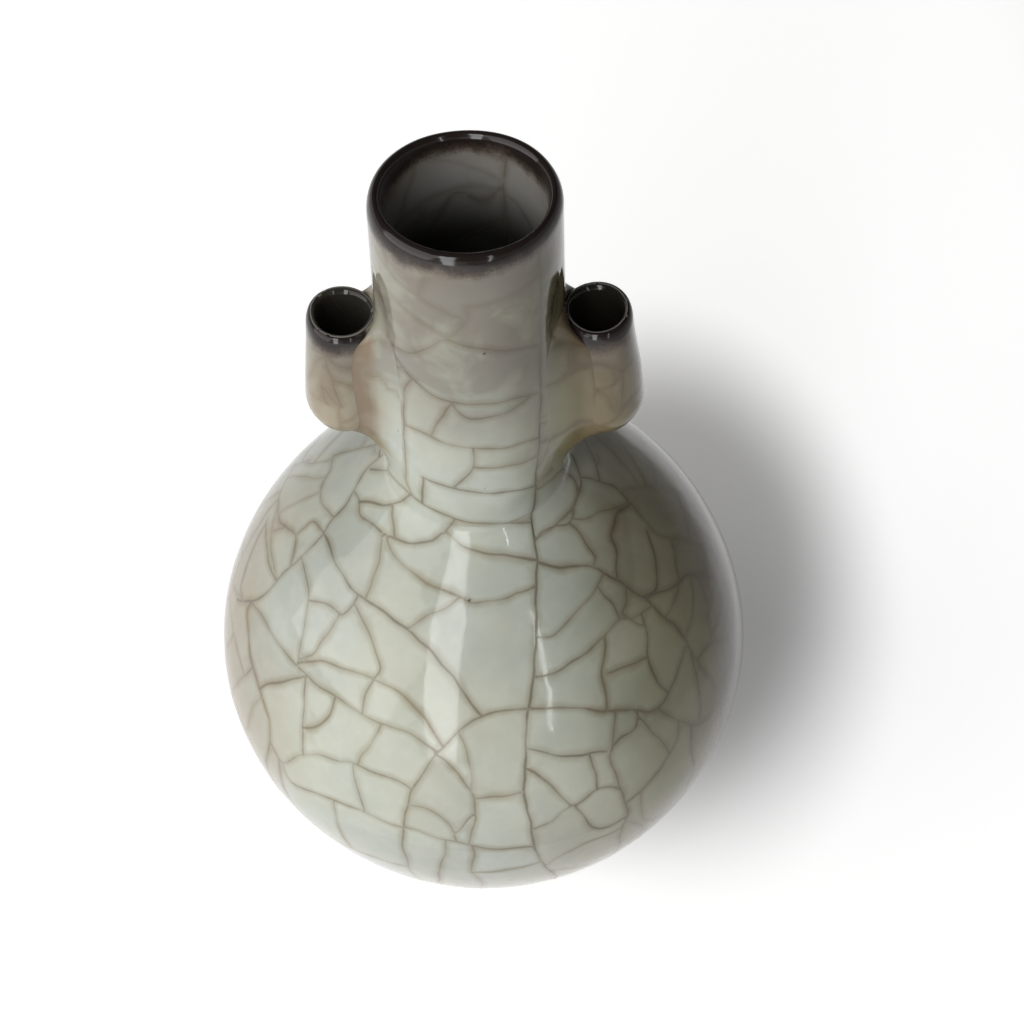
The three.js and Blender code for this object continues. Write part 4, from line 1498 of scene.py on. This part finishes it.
# Neck: a thrown tube with a rounded lip. Its skin runs up the outside, over the lip and down the
# bore, and its level lower edge stands on the slip of the collar.
neck = wall_piece("neck_glazed", wall_along(neck_joint), last_along)
skin_points = len(neck.data.vertices)
choose_open_edges(neck)
bpy.ops.mesh.bridge_edge_loops()
finish_glazed(neck, skin_points)
neck.data.materials.append(celadon)
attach(neck, "root")
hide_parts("neck")

# Lugs: two thick tubes, closed and rounded below, oval and splayed a little outwards. Each was
# thrown or rolled by itself and set against the neck, and it wears the same crackled glaze.
lug_top_radius = 6.45
lug_bore_radius = 4.3
lug_floor = 3.8
lug_oval = 1.15
lug_rim_drop = 2.6
lug_end_drop = 6.5
lug_bite = 0.9
lug_pole = 0.3
lug_half_wall = (lug_top_radius - lug_bore_radius) / 2


def of_lug(side, middle, difference):
    # a size of one lug: the right one has the difference more than the left one
    return middle + side * difference / 2


lug_mouths = {side: total_height - of_lug(side, 27.9, 1.8) for side in (-1, 1)}
lug_lengths = {side: of_lug(side, 27.0, 1.2) for side in (-1, 1)}
lug_low_radii = {side: of_lug(side, 7.4, 0.4) for side in (-1, 1)}
lug_splays = {side: math.radians(of_lug(side, 2.8, 1.2)) for side in (-1, 1)}


def lug_section(side):
    # the section of a lug from the middle of its rounded end, over the rim and down its bore
    length, low_radius = lug_lengths[side], lug_low_radii[side]
    end_turn = np.arccos(np.linspace(lug_pole / low_radius, 1, 60))
    rim_turn = np.radians(np.arange(0, 180, 2.0))
    climb = np.linspace(0, 1, 40)[1:-1]
    well_turn = np.arccos(np.linspace(1, lug_pole / lug_bore_radius, 50))
    well_top = lug_floor + lug_bore_radius - length
    bore = np.linspace(-lug_rim_drop, well_top, 50)[:-1]
    return TurnedSkin(
        np.concatenate([
            low_radius * np.cos(end_turn),
            low_radius + (lug_top_radius - low_radius) * climb,
            lug_bore_radius + lug_half_wall + lug_half_wall * np.cos(rim_turn),
            np.full_like(bore, lug_bore_radius),
            lug_bore_radius * np.cos(well_turn),
        ]),
        np.concatenate([
            lug_end_drop - length - lug_end_drop * np.sin(end_turn),
            lug_end_drop - length + (length - lug_end_drop - lug_rim_drop) * climb,
            -lug_rim_drop + lug_rim_drop * np.sin(rim_turn),
            bore,
            well_top - lug_bore_radius * np.sin(well_turn),
        ]),
    )


lug_walls = {side: lug_section(side) for side in (-1, 1)}
lug_crests = {side: int(np.argmax(lug_walls[side].heights)) for side in (-1, 1)}
lug_waves = {-1: [(2, 0.021, 0.10, 0.9), (3, -0.03, 0.06, 2.0), (1, 0.05, 0.07, 5.0), (5, 0.06, 0.03, 0.4)],
             1: [(2, -0.017, 0.10, 3.2), (3, 0.035, 0.05, 0.3), (1, 0.045, 0.08, 1.6), (4, -0.06, 0.03, 2.7)]}


def lug_along(side, height):
    # place on the outside of a lug at a height from its mouth
    crest = lug_crests[side]
    return np.interp(height, lug_walls[side].heights[:crest], lug_walls[side].along[:crest])


def lug_place(side):
    # gives the function that takes flat points of a lug's skin to their places on the vase
    mouth = lug_mouths[side]
    splay = lug_splays[side]
    reach = float(neck_radius(mouth)) + lug_top_radius - lug_bite

    def place(points):
        across = points[:, 0]
        radius, height, length = lug_walls[side].section(points[:, 1])
        swell = np.zeros_like(across)
        for waves, rate, size, start in lug_waves[side]:
            swell += size * np.sin(waves * across + 2 * math.pi * rate * length + start)
        radius = radius + swell * np.clip(radius / 3 - 0.3, 0, 1)
        out = radius * np.sin(across)
        x = side * reach + out * math.cos(splay) - side * height * math.sin(splay)
        z = mouth + side * out * math.sin(splay) + height * math.cos(splay)
        return np.stack([x, -lug_oval * radius * np.cos(across), z], 1)

    return place


# (turn from the front in degrees, depth below the mouth) of the cracks that show on the lugs
lug_cracks = {
    -1: [[(-75, -17), (-40, -15.5), (-10, -16.5), (0, -15.5)], [(-30, -5), (-34, -10), (-38, -15.8)]],
    1: [[(-14, -6.4), (-4, -6.2), (14, -7.2), (32, -9.2), (60, -9)],
        [(-15, -12.6), (-6, -12.4), (12, -11.6), (30, -11.5)],
        [(28, -8.8), (30, -12), (24, -16), (18, -19.5), (6, -20.6), (-5, -21)],
        [(18, -19.5), (36, -17.5), (70, -17)]],
}
# darkness of the drawn cracks and of those that fill the cells
lug_tones = {-1: (0.22, 0.2), 1: (0.78, 0.36)}
# painted shade in the lug bores: each mm down counts this many times, on top of this many mm
bore_depth_weight = 6.0
bore_shade = 20.0
bare_neck_side = {-1: 9.0, 1: 0.0}
for side, side_name in ((-1, "left"), (1, "right")):
    lug_wall = lug_walls[side]
    lug_crest_along = lug_wall.along[lug_crests[side]]
    lug_crest_length = lug_wall.length[lug_crests[side]]
    lug_last = float(lug_wall.along[-1])
    lug_seam_at = -side * math.pi / 2
    marks = np.linspace(0, lug_wall.length[-1], int(lug_wall.length[-1]) + 1)
    marks = np.interp(marks, lug_wall.length, lug_wall.along)
    lug_seam = np.stack([np.full_like(marks, lug_seam_at), marks], 1)
    lug_ends = [np.stack([np.linspace(lug_seam_at, lug_seam_at + 2 * math.pi, 40), np.full(40, level)], 1)
                for level in (0.0, lug_last)]

    def inside_lug(points):
        return ((points[:, 0] > lug_seam_at) & (points[:, 0] < lug_seam_at + 2 * math.pi)
                & (points[:, 1] > 0) & (points[:, 1] < lug_last))

    def lug_rim_distance(flat):
        # a millimetre down the bore counts for more, so that painted shade darkens the bore quickly, and
        # the left lug's rim is pale where the coils lap over it beside the neck
        distance = lug_crest_length - lug_wall.section(flat[:, 1])[2]
        by_neck = np.clip((-side * np.sin(flat[:, 0]) - 0.6) / 0.3, 0, 1)
        outer = np.maximum(distance, 0) + by_neck * bare_neck_side[side]
        return np.where(distance < -0.01, distance * bore_depth_weight - bore_shade, outer)

    def lug_spacing(points):
        radius, _, length = lug_wall.section(points[:, 1])
        on_rim_or_end = (np.abs(lug_crest_length - length) < 3.5) | (radius < 3)
        return np.where(on_rim_or_end, fine_step, middle_step)

    laid_tone, filled_tone = lug_tones[side]
    lug_net = CrackNet(lug_wall.scale, [lug_seam, lug_seam + whole_turn] + lug_ends, 21 + side)
    for crack in lug_cracks[side]:
        flat_crack = np.array([(math.radians(turn), lug_along(side, depth)) for turn, depth in crack])
        if flat_crack[:, 0].mean() < lug_seam_at:
            flat_crack = flat_crack + whole_turn
        lug_net.lay(flat_crack, laid_tone)
    lug_net.fill(inside_lug, lambda centre: 95 if centre[1] < lug_crest_along else 160, tone=filled_tone)
    place_side = lug_place(side)
    lug_field = CrackField(lug_net, place_side, lug_seam,
                           lambda points: np.where(points[:, 1] > lug_crest_along, 0.4, 0.8))
    tube = glazed_skin(side_name + "_lug_tube_glazed", lug_field, lug_wall.scale, place_side,
                       (0.0, lug_last), lug_seam, inside_lug, lug_rim_distance, lug_spacing)
    skin_points = len(tube.data.vertices)
    half_way = lug_mouths[side] - lug_lengths[side] + 2
    for lowest, highest in ((-1000, half_way), (half_way, 1000)):
        choose_open_edges(tube, lowest, highest)
        bpy.ops.mesh.extrude_region_move(TRANSFORM_OT_translate={"value": (0, 0, -0.01 * MM)})
        bpy.ops.mesh.merge(type="CENTER")
    finish_glazed(tube, skin_points)
    tube.data.materials.append(celadon)
    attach(tube, "root")
    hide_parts(side_name + "_lug_tube")

# Luting coils: rolls of soft clay pressed into the corners in front of and behind each lug and
# smeared on to the neck. They rise to a saddle beside the lug's mouth and run out below it.

# Turn on the tube from the line to the neck's axis, in degrees, with depth below the mouth:
coil_on_tube = {
    -1: [(4, -0.15), (22, -0.2), (45, -0.9), (65, -2), (80, -3.6), (88, -6), (89, -12), (89, -18),
         (88, -21.5), (84, -23.8), (70, -25.3), (45, -25.9), (8, -26.1)],
    1: [(4, -0.15), (22, -0.2), (45, -0.9), (62, -2), (74, -3.4), (79, -6), (83, -11), (88, -17), (93, -22),
        (92, -25), (75, -26.6), (45, -27.1), (8, -27.3)],
}
# Turn on the neck from the front in degrees, with height from the mouth:
coil_on_neck = [(89, 2.2), (80, 3.2), (71, 4.2), (63, 3.3), (55, 1.6), (50.5, -3), (49.5, -9), (50, -16),
                (50.5, -22), (52, -27.5), (56, -31.5), (65, -34.8), (88, -36.5)]
coil_rows = 190
coil_columns = 40
coil_smoothing = 50
coil_core_out = 16.2
coil_core_down = 17
# A coil starts a small share of the way into the tube and crosses to the neck in a curve that is
# steered by two shares of its width. The place that steers its end is some mm off the neck, so
# that the coil runs out nearly flat.
coil_bite = 0.012
tube_pull = 0.42
neck_pull = 0.34
off_neck = 0.12
# Of the left and the right coils: mm that the middle is pressed in, darkness of the cracks and of
# the crease beside the tube, brown darkening in that crease, painted shade at the top, and glaze pooled in
# the saddle
coil_valley = {-1: 0.9, 1: 0.1}
coil_crack_tones = {-1: 0.3, 1: 0.7}
coil_crease_tones = {-1: 0.45, 1: 0.75}
coil_crease_darkening = {-1: 2.7, 1: 0.4}
coil_top_painted_shade = {-1: 0.0, 1: 1.8}
coil_saddle_pool = {-1: 1.0, 1: 0.5}
# Cracks from (share down the coil, share over to the neck) to (share down, share over)
coil_cracks = {
    -1: [((0.30, 0.55), (0.36, 1.0)), ((0.46, 0.45), (0.53, 1.0))],
    1: [((0.3, 0.0), (0.36, 1.0)), ((0.42, 0.0), (0.5, 1.0)), ((0.62, 0.0), (0.69, 1.0)),
        ((0.36, 0.45), (0.46, 0.5))],
}
for side, side_name in ((-1, "left"), (1, "right")):
    place_side = lug_place(side)
    mouth = lug_mouths[side]
    for face, face_name in ((1, "front"), (-1, "rear")):
        steps = np.linspace(0, 1, coil_rows)
        on_tube = smooth_line(np.array(coil_on_tube[side], float))
        on_neck = smooth_line(np.array(coil_on_neck, float))
        share = np.linspace(0, 1, len(on_tube))
        on_tube = np.stack([np.interp(steps, share, on_tube[:, k]) for k in (0, 1)], 1)
        on_neck = np.stack([np.interp(steps, share, on_neck[:, k]) for k in (0, 1)], 1)
        tube_turn = np.radians(-side * (90 - on_tube[:, 0]))
        neck_turn = np.radians(side * on_neck[:, 0])
        if face == -1:
            tube_turn = math.pi - tube_turn
            neck_turn = math.pi - neck_turn
        start = place_side(np.stack([tube_turn, lug_along(side, on_tube[:, 1])], 1))
        across_tube = place_side(np.stack([tube_turn + math.pi, lug_along(side, on_tube[:, 1])], 1))
        start = start + (across_tube - start) * coil_bite
        neck_flat = np.stack([neck_turn, wall_along(mouth + on_neck[:, 1])], 1)
        end = place_wall(neck_flat)
        neck_normal = skin_normals(place_wall, neck_flat, 0.01)
        reach = start - end
        reach_length = np.linalg.norm(reach, axis=1)[:, None]
        lean = reach - neck_normal * (reach * neck_normal).sum(1)[:, None]
        lean /= np.maximum(np.linalg.norm(lean, axis=1)[:, None], 1e-9)
        late = end + lean * reach_length * neck_pull + neck_normal * off_neck
        early = start + (late - start) * tube_pull
        middle_rows = np.clip(np.sin(math.pi * np.clip((steps - 0.1) / 0.8, 0, 1)) * 1.6, 0, 1)[:, None]
        early = early + np.array([0, face, 0]) * coil_valley[side] * middle_rows
        t = np.linspace(0, 1, coil_columns)[None, :, None]
        grid = curve_between(start[:, None], early[:, None], late[:, None], end[:, None], t)
        down = np.gradient(grid, axis=0)
        over = np.gradient(grid, axis=1)
        normals = np.cross(over, down) * side * face
        for _ in range(coil_smoothing):
            normals[1:-1] = (normals[:-2] + normals[1:-1] + normals[2:]) / 3
        normals /= np.maximum(np.linalg.norm(normals, axis=2)[:, :, None], 1e-12)
        faces = []
        for i in range(coil_rows - 1):
            for j in range(coil_columns - 1):
                a = i * coil_columns + j
                quad = [a, a + 1, a + coil_columns + 1, a + coil_columns]
                faces.append(quad if side * face == 1 else quad[::-1])
        spots = grid.reshape(-1, 3)
        lines, tones = [], []
        for (from_row, from_column), (to_row, to_column) in coil_cracks[side]:
            run = np.linspace(0, 1, 60)
            rows_at = from_row + (to_row - from_row) * run + 0.008 * np.sin(run * 11 + from_row * 30)
            columns_at = from_column + (to_column - from_column) * run
            row_index = np.clip((rows_at * (coil_rows - 1)).astype(int), 0, coil_rows - 1)
            column = np.clip((columns_at * (coil_columns - 1)).astype(int), 0, coil_columns - 1)
            lines.append(grid[row_index, column])
            tones.append(np.full(len(run), coil_crack_tones[side]))
        crease_rows = np.arange(int(coil_rows * 0.16), int(coil_rows * 0.9))
        lines.append(grid[crease_rows, 1])
        tones.append(np.full(len(crease_rows), coil_crease_tones[side]))
        crack_spots, crack_tones = [], []
        for line, tone in zip(lines, tones):
            for k in range(4):
                crack_spots.append(line[:-1] + (line[1:] - line[:-1]) * k / 4)
                crack_tones.append(tone[:-1])
        crack_spots = np.concatenate(crack_spots)
        crack_tones = np.concatenate(crack_tones)
        nearest, distance = nearest_in(search_tree(crack_spots), spots)
        # u is the share over from tube to neck and s the share down the coil: a brown darkening in the
        # groove beside the tube, painted shade at the top, and the glaze pooled at the saddle and in the fold
        # below
        u = np.tile(np.linspace(0, 1, coil_columns), coil_rows)
        s = np.repeat(steps, coil_columns)
        groove = np.clip((0.6 - u) / 0.2, 0, 1) * np.clip((s - 0.2) / 0.12, 0, 1)
        groove = groove * np.clip((0.84 - s) / 0.06, 0, 1)
        darkening = groove * coil_crease_darkening[side] + coil_top_painted_shade[side] * np.clip((0.36 - s) / 0.12, 0, 1)
        saddle = np.clip(1 - s / 0.2, 0, 1) * np.clip(1 - np.abs(u - 0.5) / 0.5, 0, 1)
        fold = np.clip(1.3 - np.abs(s - 0.84) / 0.09, 0, 1) * np.clip(1.2 - np.abs(u - 0.4) / 0.4, 0, 1)
        pool = np.clip(saddle * coil_saddle_pool[side] + fold, 0, 1)
        rim = np.where(s < 0.2, 5.0 + 12 * u + 30 * s, 60.0)
        name = side_name + "_lug_" + face_name + "_luting_coil"
        coil = skin_object(name + "_glazed", spots, faces, {
            "crack_mm": np.minimum(distance, far_from_crack),
            "crack_tone": crack_tones[nearest],
            "crack_brown": np.full(len(spots), 0.6),
            "cell_stain_and_shade": darkening,
            "rim_mm": rim,
            "pool": pool,
        }, normals)
        choose_open_edges(coil)
        bpy.ops.mesh.extrude_region_move(TRANSFORM_OT_translate={"value": (0, 0, 0)})
        bpy.ops.transform.resize(value=(0.88, 0.75, 0.95),
                                 center_override=(side * coil_core_out * MM, 0,
                                                  (mouth - coil_core_down) * MM))
        bpy.ops.mesh.fill()
        finish_glazed(coil, len(spots))
        coil.data.materials.append(celadon)
        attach(coil, "root")
        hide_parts(name)
